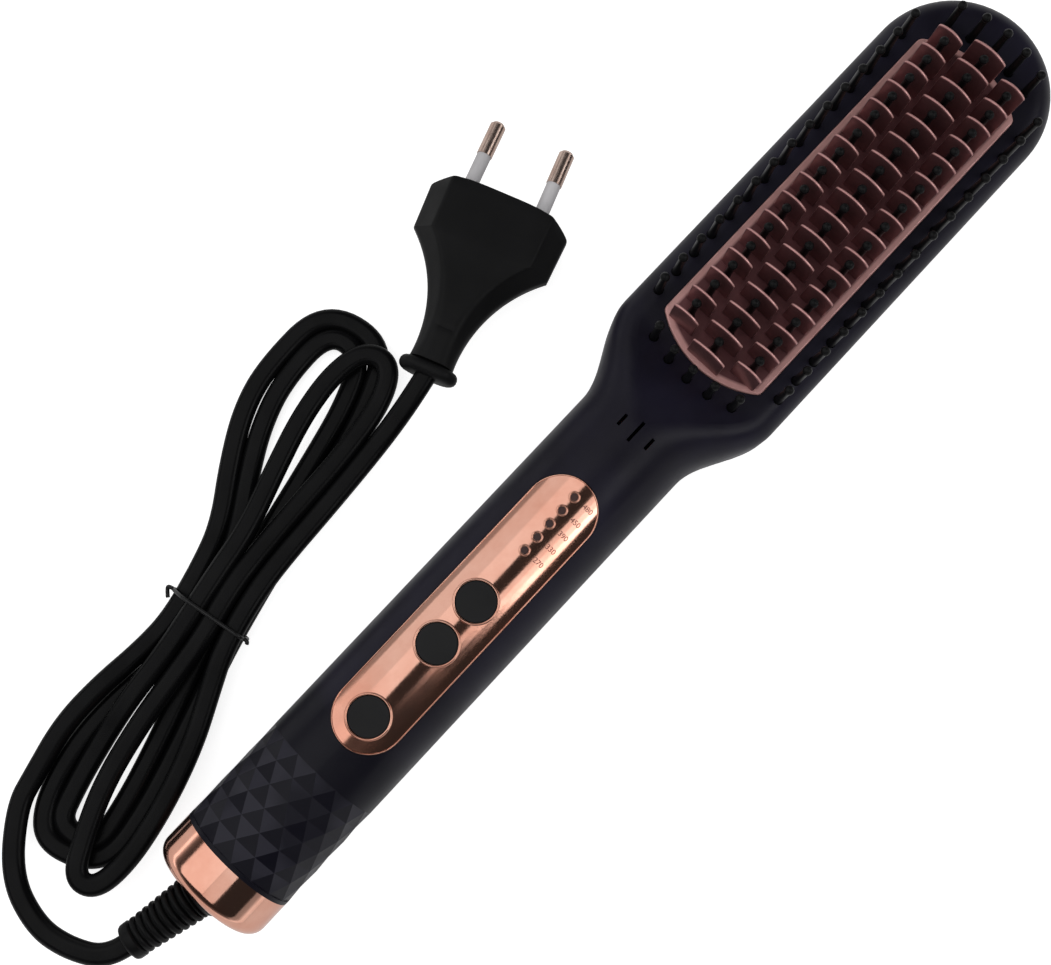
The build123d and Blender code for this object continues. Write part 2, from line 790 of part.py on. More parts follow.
def hank_point(u, v, z):
    # From the hank's own axes, u along it and v across it, to the common frame.
    angle = math.radians(hank_angle)
    x = hank_centre[0] + u * math.cos(angle) - v * math.sin(angle)
    y = hank_centre[1] + u * math.sin(angle) + v * math.cos(angle)
    return (x, y, z)


def hank_route():
    # Seven strands through the waist: four in the lower layer, three in the upper one.
    low = cord_diameter / 2
    lift = tie_wire_diameter + tie_clearance
    waist = []
    for place, layer in ((1.5, 0), (-1.5, 0), (0.5, 0), (-0.5, 0), (1, 1), (0, 1), (-1, 1)):
        waist.append((place * strand_pitch, low + lift + layer_height * layer))
    # Each turn: its end, the place across of the leg going in and of the leg coming out, corner radius, layer
    far_turns = ((77.0, 16.5, -5.7, 9.0, 0), (71.6, 11.2, -0.4, 5.4, 0), (69.5, 4.5, -12.0, 7.6, 1))
    near_turns = ((-68.0, -13.1, 12.5, 8.0, 0), (-61.0, -7.4, 5.6, 5.9, 0), (-71.0, 1.0, -13.8, 6.8, 1))
    points = [hank_point(-54.0, 18.4, low + 0.1), hank_point(-40.0, 17.2, low + 0.1), hank_point(-26.0, 13.4, low + 0.6)]
    radii = [40.0, 40.0]
    for turn in range(3):
        for strand, (end, going, coming, radius, layer), shoulder in (
                (2 * turn, far_turns[turn], 46.0), (2 * turn + 1, near_turns[turn], -46.0)):
            z = low + layer_height * layer
            v, height = waist[strand]
            side = math.copysign(waist_half_length, end)
            points += [hank_point(-side, v, height), hank_point(side, v, height), hank_point(shoulder, going, z),
                       hank_point(end, going, z), hank_point(end, coming, z)]
            radii += [waist_radius, waist_radius, 30.0, radius, radius]
            if strand == 3:
                # This strand climbs to the upper layer straight after its turn
                points += [hank_point(-52.5, coming, z), hank_point(-29.0, coming + 0.5, waist[4][1] - 0.3)]
                radii += [22.0, 22.0]
            else:
                points.append(hank_point(shoulder, coming, z))
                radii.append(30.0)
    v, height = waist[6]
    points += [hank_point(-waist_half_length, v, height), hank_point(waist_half_length, v, height),
               hank_point(22.0, -10.7, height - 0.5), hank_point(36.0, -15.6, low + 4.3), hank_point(46.0, -17.0, low + 4.3)]
    radii += [waist_radius, 20.0, 30.0, 30.0]
    return points, radii


def make_hank():
    points, radii = hank_route()
    path = FilletPolyline(*points, radius=radii)
    steps = [path @ (i / 3000) for i in range(3001)]
    skip = int(3 * cord_diameter / (path.length / 3000))
    gap = min((steps[i] - steps[j]).length for i in range(0, 3001, 3) for j in range(i + skip, 3001, 3))
    print("hank length", round(path.length, 1), "least gap to itself", round(gap - cord_diameter, 2))
    return tube_along(path, cord_diameter / 2), points


def cord_tube(points):
    # A round cord along hand-set points, each corner as open as its shorter run allows.
    radii = []
    for before, here, after in zip(points, points[1:], points[2:]):
        run_in = Vector(*here) - Vector(*before)
        run_out = Vector(*after) - Vector(*here)
        turn = math.radians(run_in.get_angle(run_out))
        radii.append(0.45 * min(run_in.length, run_out.length) / math.tan(turn / 2))
    print("cord radii", [round(radius, 1) for radius in radii])
    path = FilletPolyline(*points, radius=radii)
    tube = tube_along(path, cord_diameter / 2)
    section_area = math.pi * cord_diameter ** 2 / 4
    print("cord length", round(path.length, 1), "volume ratio", round(tube.volume / (section_area * path.length), 4))
    return tube


def make_tie():
    # Wire tie round the waist, lying under and over the strands, with a short end at each side.
    half = strand_pitch * 1.5 + cord_diameter / 2 + tie_clearance + tie_wire_diameter / 2
    low = tie_wire_diameter / 2
    high = low + tie_wire_diameter + 2 * tie_clearance + cord_diameter + layer_height
    points = [hank_point(0, -half, low), hank_point(0, half, low), hank_point(0, half, high), hank_point(0, -half, high)]
    path = FilletPolyline(*points, radius=2.2, close=True)
    tie = tube_along(path, tie_wire_diameter / 2)
    middle = (low + high) / 2
    for side in (1, -1):
        near = Vector(*hank_point(0, side * half, middle))
        far = Vector(*hank_point(0, side * (half + tie_ear), middle))
        tie += Plane(origin=near, z_dir=far - near) * extrude(Circle(tie_wire_diameter / 2), tie_ear)
    return tie


def plug_frame():
    # Local axes of the plug: X out along the pins, Z up from its flat face.
    heading = math.radians(plug_heading)
    tilt = math.radians(plug_tilt)
    out = Vector(math.cos(heading) * math.cos(tilt), math.sin(heading) * math.cos(tilt), -math.sin(tilt))
    across = Vector(-math.sin(heading), math.cos(heading), 0)
    return Plane(origin=plug_front, x_dir=out, z_dir=out.cross(across))


def plug_pin_plane(side):
    # Local place and direction of one pin.
    lean = math.radians(plug_pin_lean)
    direction = Vector(math.cos(lean), -side * math.sin(lean), 0)
    return Vector(plug_bulge, side * plug_pin_spacing / 2, 0), direction


def make_plug():
    half = plug_width / 2
    neck = plug_neck_width / 2
    with BuildSketch(Plane.XY.offset(-plug_thickness / 2)) as outline:
        with BuildLine():
            ThreePointArc((0, half), (plug_bulge, 0), (0, -half))
            Line((0, -half), (-plug_wide_length, -half))
            ThreePointArc((-plug_wide_length, -half), (-23.0, -9.4), (-plug_length, -neck))
            Line((-plug_length, -neck), (-plug_length, neck))
            ThreePointArc((-plug_length, neck), (-23.0, 9.4), (-plug_wide_length, half))
            Line((-plug_wide_length, half), (0, half))
        make_face()
    with BuildSketch(Plane.XZ.offset(-plug_width)) as profile:
        with BuildLine():
            thick = plug_thickness / 2
            slim = plug_neck_thickness / 2
            Polyline((plug_bulge + 1, thick), (-plug_wide_length, thick), (-plug_length, slim), (-plug_length, -slim),
                     (-plug_wide_length, -thick), (plug_bulge + 1, -thick), close=True)
        make_face()
    body = extrude(outline.sketch, plug_thickness) & extrude(profile.sketch, 2 * plug_width)
    with BuildSketch(Plane.YZ.offset(-plug_length - collar_length)) as collar:
        SlotOverall(collar_width, collar_thickness)
    body += extrude(collar.sketch, collar_length)
    sleeves = []
    pins = []
    sleeve_radius = plug_pin_radius - sleeve_step
    bore_fit = sleeve_radius + seat_clearance
    core_radius = sleeve_radius - sleeve_wall
    for side in (1, -1):
        place, direction = plug_pin_plane(side)
        body -= turned([(-sleeve_root - 0.1, 0), (-sleeve_root - 0.1, bore_fit), (4, bore_fit), (4, 0)], place, direction)
        sleeves.append(turned([(-sleeve_root, core_radius), (-sleeve_root, sleeve_radius), (sleeve_length, sleeve_radius),
                               (sleeve_length, core_radius)], place, direction))
        tip = plug_pin_length
        pins.append(turned([(-sleeve_root, 0), (-sleeve_root, core_radius), (sleeve_length, core_radius),
                            (sleeve_length, plug_pin_radius), (tip - 1.0, plug_pin_radius), (tip - 0.3, plug_pin_radius - 0.6),
                            (tip, 0.6), (tip, 0)], place, direction))
    frame = plug_frame()
    return frame * body, together([frame * s for s in sleeves]), together([frame * p for p in pins])


def beyond(points, distance):
    # The point that carries the first run of a route straight on, backwards, by the distance.
    first, second = Vector(*points[0]), Vector(*points[1])
    far = first + (first - second).normalized() * distance
    return (far.X, far.Y, far.Z)


def lead_points(hank_points):
    # From the boot's end, round the open loop beside the hank and into its first strand.
    exit_point = swivel_point(boot_length)
    straight = swivel_point(boot_length + 5.4)
    return [(exit_point.X, exit_point.Y, exit_point.Z), (straight.X, straight.Y, straight.Z), (-171.3, 14.0, 12.0),
            (-174.1, 24.5, 8.0), (-172.2, 35.5, 4.6), beyond(hank_points, 9.0), hank_points[0]]


def tail_points(hank_points):
    # From the hank's last strand up into the back of the plug.
    back = plug_frame().from_local_coords(Vector(-plug_length - collar_length, 0, 0))
    before = plug_frame().from_local_coords(Vector(-plug_length - collar_length - 7.0, 0, 0))
    return [hank_points[-1], beyond(hank_points[::-1], 6.0), (before.X, before.Y, before.Z), (back.X, back.Y, back.Z)]


def build():
    front, back = shell_pair()
    save("front_shell", make_front_shell(front))
    save("back_shell", make_back_shell(back))
    save("end_cap", make_end_cap())
    save("control_panel", make_panel())
    save("light_guide", make_light_guide())
    save("comb_plate", make_comb_plate())
    save("inner_bristle_board", make_inner_board())
    save("outer_bristle_frame", make_outer_frame())
    save("heat_sheet", make_sheet())
    heaters, pads = make_heaters()
    save("ceramic_heaters", heaters)
    save("heater_pads", pads)
    save("heater_leads", make_heater_leads())
    save("sensor_leads", make_sensor_leads())
    save("mains_leads", make_mains_leads())
    bead, cutout = make_sensors()
    save("thermistor", bead)
    save("thermal_cutout", cutout)
    board, lamps, chip, triac, capacitor, fuse = make_circuit()
    save("circuit_board", board)
    save("indicator_lamps", lamps)
    save("control_chip", chip)
    save("power_triac", triac)
    save("filter_capacitor", capacitor)
    save("mains_fuse", fuse)
    save("tact_switches", make_switches())
    keys, stems = make_keys()
    for name, key, stem in zip(key_names, keys, stems):
        save(f"{name}_key", key)
        save(f"{name}_switch_stem", stem)
    shell_screws, circuit_screws, comb_screws, frame_screws = make_screws()
    save("shell_screws", shell_screws)
    save("circuit_screws", circuit_screws)
    save("comb_screws", comb_screws)
    save("frame_screws", frame_screws)
    save("swivel_retainer", make_retainer())
    ball, rings, boot = make_swivel()
    save("swivel_ball", ball)
    save("slip_rings", rings)
    save("cord_boot", boot)
    save("contact_block", make_contact_block())
    hank, hank_points = make_hank()
    save("cord_hank", hank)
    save("cord_lead", cord_tube(lead_points(hank_points)))
    save("cord_tail", cord_tube(tail_points(hank_points)))
    save("cord_tie", make_tie())
    plug, sleeves, pins = make_plug()
    save("plug_body", plug)
    save("pin_sleeves", sleeves)
    save("plug_pins", pins)


build()
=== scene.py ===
import math
import bmesh
import bpy
from mathutils import Matrix, Vector


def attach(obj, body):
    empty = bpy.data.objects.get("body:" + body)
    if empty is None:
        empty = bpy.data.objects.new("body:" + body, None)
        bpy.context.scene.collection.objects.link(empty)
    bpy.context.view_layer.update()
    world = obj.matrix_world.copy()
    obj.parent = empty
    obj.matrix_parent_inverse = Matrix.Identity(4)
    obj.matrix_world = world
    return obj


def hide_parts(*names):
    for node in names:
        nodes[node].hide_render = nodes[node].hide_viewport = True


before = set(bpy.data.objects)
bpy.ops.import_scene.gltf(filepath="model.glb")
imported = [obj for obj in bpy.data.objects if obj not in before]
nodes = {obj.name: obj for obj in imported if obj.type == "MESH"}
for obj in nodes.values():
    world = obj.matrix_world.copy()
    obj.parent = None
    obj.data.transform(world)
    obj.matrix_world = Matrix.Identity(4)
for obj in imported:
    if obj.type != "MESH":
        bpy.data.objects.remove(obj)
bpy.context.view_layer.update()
scene = bpy.context.scene
scene.view_settings.view_transform = "Standard"
mm = 0.001
print("frame loaded:", len(nodes), "nodes")


# Small helpers for meshes

def addToScene(name, data):
    obj = bpy.data.objects.new(name, data)
    scene.collection.objects.link(obj)
    return obj


def newObject(name, vertices, faces, smoothAngle=None):
    mesh = bpy.data.meshes.new(name)
    mesh.from_pydata(vertices, [], faces)
    mesh.validate()
    turnOutward(mesh)
    if smoothAngle:
        shadeSmooth(mesh, smoothAngle)
    return addToScene(name, mesh)


def turnOutward(mesh):
    work = bmesh.new()
    work.from_mesh(mesh)
    bmesh.ops.remove_doubles(work, verts=work.verts, dist=1e-7)
    bmesh.ops.recalc_face_normals(work, faces=work.faces)
    work.to_mesh(mesh)
    work.free()


def shadeSmooth(mesh, angle):
    mesh.shade_smooth()
    mesh.set_sharp_from_angle(angle=math.radians(angle))


def loft(name, rings, smoothAngle, closed=True):
    # Rings with equal counts of points become one skin; closed adds both end faces
    count = len(rings[0])
    vertices = [point for ring in rings for point in ring]
    faces = []
    for row in range(len(rings) - 1):
        for i in range(count):
            a = row * count + i
            b = row * count + (i + 1) % count
            faces.append((a, b, b + count, a + count))
    if closed:
        faces.append(tuple(range(count)))
        faces.append(tuple(range((len(rings) - 1) * count, len(rings) * count)))
    return newObject(name, vertices, faces, smoothAngle)


def arc(centre, radius, start, end, steps, used=None):
    # Points on an arc in equal steps, all of them or only those that are used
    points = []
    for i in used or range(steps + 1):
        angle = start + (end - start) * i / steps
        points.append((centre[0] + radius * math.cos(angle), centre[1] + radius * math.sin(angle)))
    return points


def circlePoints(radius, steps):
    return arc((0, 0), radius, 0, 2 * math.pi, steps, range(steps))


def settle(obj, smoothAngle):
    # The evaluated shape becomes the object's own mesh, and its modifiers go
    graph = bpy.context.evaluated_depsgraph_get()
    made = bpy.data.meshes.new_from_object(obj.evaluated_get(graph), preserve_all_data_layers=True,
                                           depsgraph=graph)
    obj.modifiers.clear()
    old = obj.data
    obj.data = made
    bpy.data.meshes.remove(old)
    made.name = obj.name
    shadeSmooth(made, smoothAngle)


def joined(name, parts):
    # Several objects become one, with their places in the mesh
    work = bmesh.new()
    for part in parts:
        work.from_mesh(part.data)
    mesh = bpy.data.meshes.new(name)
    work.to_mesh(mesh)
    work.free()
    for part in parts:
        bpy.data.objects.remove(part)
    return addToScene(name, mesh)


def inMetres(points):
    return [Vector(point) * mm for point in points]


def placeMatrix(directions, place):
    matrix = Matrix(directions).transposed().to_4x4()
    matrix.translation = place
    return matrix


def setMaterial(obj, material):
    obj.data.materials.clear()
    obj.data.materials.append(material)


# Small helpers for Geometry Nodes

def newTree(name, **inputs):
    # Inputs are kinds of socket with their labels; every tree also takes its material
    tree = bpy.data.node_groups.new(name, "GeometryNodeTree")
    tree.interface.new_socket("Geometry", in_out="INPUT", socket_type="NodeSocketGeometry")
    for kind, labels in {**inputs, "Material": "Material"}.items():
        for label in labels.split(", "):
            tree.interface.new_socket(label, in_out="INPUT", socket_type="NodeSocket" + kind)
    tree.interface.new_socket("Geometry", in_out="OUTPUT", socket_type="NodeSocketGeometry")
    return tree, tree.nodes.new("NodeGroupInput").outputs


def setInputs(tree, node, values):
    for key, value in values.items():
        if isinstance(value, bpy.types.NodeSocket):
            tree.links.new(value, node.inputs[key])
        else:
            node.inputs[key].default_value = value


def addNode(tree, kind, values=None, **settings):
    node = tree.nodes.new(kind)
    for key, value in settings.items():
        setattr(node, key, value)
    setInputs(tree, node, values or {})
    return node


def vector(tree, **parts):
    return addNode(tree, "ShaderNodeCombineXYZ", parts).outputs[0]


def axes(tree, place):
    return addNode(tree, "ShaderNodeSeparateXYZ", {0: place}).outputs


def maths(tree, operation, *values):
    return addNode(tree, "ShaderNodeMath", dict(enumerate(values)), operation=operation).outputs[0]


def joinNodes(tree, *geometries):
    join = addNode(tree, "GeometryNodeJoinGeometry")
    for geometry in geometries:
        tree.links.new(geometry, join.inputs[0])
    return join.outputs[0]


def shapeOf(tree, obj):
    return addNode(tree, "GeometryNodeObjectInfo", {"Object": obj}).outputs["Geometry"]


def pointRow(tree, count, start, step):
    values = {"Count": count, "Start Location": start, "Offset": step}
    return addNode(tree, "GeometryNodeMeshLine", values).outputs[0]


def copies(tree, points, shape, **more):
    values = {"Points": points, "Instance": shape, **more}
    return addNode(tree, "GeometryNodeInstanceOnPoints", values).outputs[0]


def endTree(tree, source, geometry, joinWith=None):
    # Every tree ends with real geometry that has its material
    real = addNode(tree, "GeometryNodeRealizeInstances", {"Geometry": geometry}).outputs[0]
    values = {"Geometry": real, "Material": source["Material"]}
    last = addNode(tree, "GeometryNodeSetMaterial", values).outputs[0]
    if joinWith is not None:
        last = joinNodes(tree, last, joinWith)
    tree.links.new(last, tree.nodes.new("NodeGroupOutput").inputs[0])
    return tree


def applyTree(obj, tree, values):
    # Inputs are set by their sockets' identifiers before the object is evaluated; lengths come in mm
    modifier = obj.modifiers.new(tree.name, "NODES")
    modifier.node_group = tree
    for item in tree.interface.items_tree:
        if item.name in values:
            unit = mm if item.socket_type == "NodeSocketFloat" else 1
            value = values[item.name]
            modifier[item.identifier] = value * unit if isinstance(value, (int, float)) else value


# Small helpers for materials

def newMaterial(name):
    material = bpy.data.materials.new(name)
    material.use_nodes = True
    tree = material.node_tree
    coords = addNode(tree, "ShaderNodeTexCoord")
    return material, tree, tree.nodes["Principled BSDF"], coords.outputs["Object"]


def noise(tree, place, scale, detail=3.0, roughness=0.5, stretch=None):
    if stretch:
        place = addNode(tree, "ShaderNodeMapping", {"Vector": place, "Scale": stretch}).outputs[0]
    values = {"Vector": place, "Scale": scale, "Detail": detail, "Roughness": roughness}
    return addNode(tree, "ShaderNodeTexNoise", values).outputs["Fac"]


def spread(tree, value, low, high, fromLow=0.35, fromHigh=0.65):
    values = {"Value": value, "From Min": fromLow, "From Max": fromHigh, "To Min": low, "To Max": high}
    return addNode(tree, "ShaderNodeMapRange", values).outputs[0]


def mixColour(tree, factor, *colours):
    # A colour is a socket or an sRGB triple
    first, second = (rgb(*colour) if isinstance(colour, tuple) else colour for colour in colours)
    return addNode(tree, "ShaderNodeMix", {0: factor, 6: first, 7: second}, data_type="RGBA").outputs[2]


def bump(tree, height, depth):
    return addNode(tree, "ShaderNodeBump", {"Height": height, "Distance": depth * mm}).outputs[0]


def rgb(red, green, blue):
    # sRGB 0-255 to the linear colour that the shader takes
    linear = []
    for part in (red, green, blue):
        part /= 255
        linear.append(part / 12.92 if part <= 0.04045 else ((part + 0.055) / 1.055) ** 2.4)
    return (*linear, 1.0)


# Camera, at the photograph's own place

cameraView = {
    "place": (-0.0599, -0.0088, 0.3628),
    "looksAlong": (0.1067, 0.0574, -1.0),
    "upTurn": 43.07,        # degrees from +X towards +Y
    "lens": 50.98,
    "sensor": 36.0,
}


def makeCamera(view):
    data = bpy.data.cameras.new("camera")
    data.lens = view["lens"]
    data.sensor_width = view["sensor"]
    data.clip_start = 0.01
    data.clip_end = 20
    forward = Vector(view["looksAlong"]).normalized()
    turn = math.radians(view["upTurn"])
    up = Vector((math.cos(turn), math.sin(turn), 0))
    up = (up - forward * up.dot(forward)).normalized()
    right = forward.cross(up)
    scene.camera = addToScene("camera", data)
    scene.camera.matrix_world = placeMatrix((right, up, -forward), view["place"])


makeCamera(cameraView)
print("camera set")


# Cord: one flat twin lead from the boot through the tied hank to the plug

cord = {
    "width": 5.3,
    "thickness": 3.6,
    "lobeSteps": 8,
    "smoothness": 10,        # points read per control point
    "layerHeight": 4.4,
    "underTie": 1.2,
    "waistHalf": 7.0,
    "hankCentre": (-94.4, 45.0),
    "hankAngle": 14.5,
    "exit": (-160.69, 4.93, 15.0),
    "lead": ((-165.98, 6.02, 15), (-171.3, 14, 12), (-174.0, 23.3, 8.5), (-171.0, 35.8, 5.5),
             (-158.9, 46.4, 4.6)),
    "tailStart": (65.5, -16.9, 10.6),
    "plugEnd": (-19.72, 46.43, 11.23),
    "floorGap": 0.1,
    "sameSpot": 0.05,        # points nearer than this count as one
}

# The hank's points in its own axes: along it, across it, and the layer
strands = (
    (-54, 17.6, 0.6), (-41, 17.7, 0.6), (-29, 14.8, 0.6), (-17, 10.6, 0.3),
    (-7, 8.2, 0), (7, 8.2, 0), (18, 9.5, 0), (32, 15.0, 0), (45, 18.7, 0), (57, 18.9, 0),
    (76.2, 14, 0), (76.2, -3, 0),
    (62, -7.5, 0), (40, -7.4, 0), (20, -7, 0),
    (7, -6.8, 0), (-7, -6.8, 0), (-20, -7.4, 0), (-36, -8.6, 0), (-50, -8.9, 0), (-62, -7.4, 0), (-66.4, -1, 0),
    (-66.4, 8.6, 0), (-59, 12.8, 0), (-46, 13.5, 0), (-32, 11.0, 0), (-18, 5.4, 0),
    (-7, 3.2, 0), (7, 3.2, 0), (18, 4.6, 0), (32, 9.6, 0), (44, 12.9, 0), (56, 13.7, 0),
    (71.7, 10.2, 0), (71.2, 0.5, 0),
    (59, -2.4, 0), (40, -2.2, 0), (20, -1.4, 0),
    (7, -1.8, 0), (-7, -1.8, 0), (-20, -2.3, 0), (-36, -3.5, 0), (-50, -4.0, 0), (-62, -3.0, 0), (-62, 7.4, 0),
    (-52, 8.3, 0), (-40, 8.0, 0.35), (-28, 6.9, 1), (-16, 5.1, 1),
    (-7, 4.1, 1), (7, 3.4, 1), (20, 2.5, 1), (36, 3.8, 1), (50, 4.6, 1), (63, 3.2, 1),
    (71.6, -1, 1), (71.6, -8, 1),
    (62, -10.6, 1), (46, -8.6, 1), (30, -5.2, 1), (16, -2.6, 1),
    (7, -1.4, 1), (-7, -1.2, 1), (-18, 0.2, 1), (-32, 1.8, 1), (-48, 2.1, 1), (-61, -0.2, 1),
    (-69.6, -2.6, 1), (-69.6, -8.5, 1),
    (-60, -11.9, 1), (-45, -12.7, 1), (-30, -11.6, 1), (-17, -8.7, 1),
    (-7, -6.8, 1), (7, -6.9, 1), (18, -8.2, 1), (32, -11.0, 0.95), (46, -13.6, 0.95), (56, -15.3, 1.1),
)


def hankPoint(u, v, z):
    (x, y), angle = cord["hankCentre"], math.radians(cord["hankAngle"])
    along, across = math.cos(angle), math.sin(angle)
    return (x + u * along - v * across, y + u * across + v * along, z)


def cordRoute():
    # Seven strands pass the tie, four below and three on top; all lift there for the wire below
    low = cord["thickness"] / 2 + cord["floorGap"]
    points = [cord["exit"], *cord["lead"]]
    for u, v, layer in strands:
        lift = cord["underTie"] if abs(u) <= cord["waistHalf"] else 0
        points.append(hankPoint(u, v, low + lift + cord["layerHeight"] * layer))
    return inMetres([*points, hankPoint(*cord["tailStart"]), cord["plugEnd"]])


def splineLine(name, points, smoothness, cyclic=False):
    # The route's own NURBS spline, read back as the points that it passes
    curve = bpy.data.curves.new(name, "CURVE")
    curve.dimensions = "3D"
    spline = curve.splines.new("NURBS")
    spline.points.add(len(points) - 1)
    for target, point in zip(spline.points, points):
        target.co = (*point, 1)
    spline.order_u = 3
    spline.use_endpoint_u = not cyclic
    spline.use_cyclic_u = cyclic
    spline.resolution_u = smoothness
    obj = addToScene(name, curve)
    bpy.context.view_layer.update()
    mesh = bpy.data.meshes.new_from_object(obj)
    line = []
    for vertex in mesh.vertices:
        if not line or (vertex.co - line[-1]).length > cord["sameSpot"] * mm:
            line.append(vertex.co.copy())
    bpy.data.meshes.remove(mesh)
    bpy.data.objects.remove(obj)
    bpy.data.curves.remove(curve)
    return line


def sweep(name, line, section, smoothAngle=60, cyclic=False, level=False):
    # Section points are (sideways, up). Sideways stays level with the floor, or turns as little as it can
    count = len(line)
    rings = []
    side = None
    for i, here in enumerate(line):
        before = line[i - 1] if i or cyclic else here
        after = line[(i + 1) % count] if cyclic or i + 1 < count else here
        along = (after - before).normalized()
        if level:
            side = along.cross(Vector((0, 0, 1)))
        elif side is None:
            side = along.orthogonal().normalized()
        side = (side - along * side.dot(along)).normalized()
        above = along.cross(side)
        rings.append([here + side * s + above * h for s, h in section])
    if cyclic:
        rings.append(rings[0])
    return loft(name, rings, smoothAngle, closed=not cyclic)


def twinSection():
    # Two round jackets side by side, joined by a shallow web
    radius, steps = cord["thickness"] / 2, cord["lobeSteps"]
    offset = cord["width"] / 2 - radius
    meet = math.acos(-offset / radius)
    points = arc((offset, 0), radius, -meet, meet, steps)
    points += arc((-offset, 0), radius, math.pi - meet, math.pi + meet, steps, range(1, steps))
    return [(s * mm, -h * mm) for s, h in points]


cordLine = splineLine("cordLine", cordRoute(), cord["smoothness"])
cordPiece = sweep("powerCord", cordLine, twinSection(), smoothAngle=50, level=True)
cordLength = sum((b - a).length for a, b in zip(cordLine, cordLine[1:]))
print("cord made,", round(cordLength, 4), "m")


# Materials

# Moulded finishes: two sRGB tones, roughness, grain per metre, grain depth in mm, specular level
mouldedTones = {
    "bodyPlastic": ((18, 16, 26), (25, 23, 36), (0.34, 0.42), 4200, 0.01, 0.15),
    "keyPlastic": ((20, 20, 21), (25, 25, 26), (0.45, 0.55), 3800, 0.012, 0.2),
    "bristleNylon": ((10, 10, 11), (15, 15, 16), (0.34, 0.44), 5000, 0.006, 0.12),
    "cordJacket": ((5, 5, 6), (10, 10, 11), (0.26, 0.36), 2600, 0.012, 0.09),
    "bootRubber": ((9, 9, 10), (14, 14, 15), (0.36, 0.48), 3000, 0.015, 0.11),
    "plugPlastic": ((12, 12, 13), (17, 17, 18), (0.44, 0.54), 3000, 0.012, 0.12),
    "tieCoat": ((14, 14, 15), (20, 20, 21), (0.3, 0.4), 3000, 0.01, 0.3),
    "sleevePlastic": ((188, 186, 188), (172, 170, 172), (0.4, 0.5), 3000, 0.01, 0.4),
    "lampWindow": ((44, 26, 26), (60, 36, 34), (0.12, 0.2), 3000, 0.003, 0.5),
    "numberInk": ((88, 44, 38), (104, 54, 46), (0.5, 0.6), 3000, 0.004, 0.3),
    "stemPlastic": ((205, 205, 200), (190, 190, 184)),
    "mica": ((205, 196, 176), (176, 160, 132), (0.42, 0.55), 900, 0.03),
    "heaterCeramic": ((238, 238, 232), (224, 222, 214), (0.5, 0.65)),
    "padRubber": ((180, 60, 50), (160, 48, 42)),
    "redWire": ((200, 50, 40), (180, 40, 34)),
    "circuitLacquer": ((26, 96, 52), (20, 80, 44), (0.25, 0.35), 1200),
    "chipEpoxy": ((30, 30, 32), (38, 38, 40), (0.5, 0.65)),
    "blueFilm": ((40, 80, 150), (34, 70, 136), (0.2, 0.3)),
}

# Metals: two sRGB tones, roughness, smudges and brush lines per metre
metalTones = {
    "rosePlating": ((228, 176, 156), (216, 154, 132), (0.08, 0.15), 60),
    "plugMetal": ((208, 186, 174), (184, 158, 146), (0.2, 0.3), 260, 1800),
    "steel": ((190, 192, 196), (170, 172, 176), (0.22, 0.34), 90, 1500),
    "brass": ((214, 178, 104), (196, 160, 92), (0.2, 0.32), 90),
}

# Patches per metre that all finishes share, and the metals' fine surface
patches = {"tone": 45, "gloss": 160, "metalGrain": 2600, "metalDepth": 0.004, "brushStretch": (0.04, 1, 1)}

combTones = {
    # where end and side margins begin and are full, and the height of the plate's floor
    "centre": 73.8, "endBulge": 23.0, "end": (48.6, 49.4), "side": (13.1, 13.8), "floor": (24.55, 24.75),
    # Two sRGB tones each: the fins' own colour, a painted highlight for crests and margin, and painted shade for
    # the floor among the fins
    "deep": ((148, 102, 104), (132, 90, 92)), "paintedHighlight": ((204, 156, 152), (188, 140, 136)),
    "paintedShade": ((108, 70, 72), (94, 60, 62)), "rough": (0.34, 0.44), "metallic": (0.8, 0.45),
    "patches": 140, "grain": 2600, "depth": 0.01,
}

# The faceted grip: its end, its painted shade and painted highlight tones, how far a facet leans, and the patches
# in its tone
gripTones = {
    "edge": (-92, -88), "shaded": (11, 10, 20), "lit": (48, 47, 56),
    "lean": (0.02, 0.1), "patches": 70, "patchShare": (0.25, 1.0, 0.4, 0.6),
}


def mouldedFinish(name, colour, shade, rough=(0.42, 0.55), grain=3500, depth=0.02, specular=0.3):
    material, tree, shader, place = newMaterial(name)
    cloud = spread(tree, noise(tree, place, patches["tone"], 4), 0, 1)
    setInputs(tree, shader, {
        "Base Color": mixColour(tree, cloud, colour, shade),
        "Roughness": spread(tree, noise(tree, place, patches["gloss"], 3), *rough),
        "Normal": bump(tree, noise(tree, place, grain, 2), depth),
        "Specular IOR Level": specular})
    return material


def metalFinish(name, colour, shade, rough, smudge, brush=None):
    material, tree, shader, place = newMaterial(name)
    cloud = noise(tree, place, smudge, 5, 0.6)
    stretch = patches["brushStretch"] if brush else None
    fine = noise(tree, place, brush or patches["metalGrain"], 3, stretch=stretch)
    setInputs(tree, shader, {
        "Base Color": mixColour(tree, spread(tree, cloud, 0, 1), colour, shade),
        "Roughness": spread(tree, cloud, *rough),
        "Normal": bump(tree, fine, patches["metalDepth"]),
        "Metallic": 1.0})
    return material


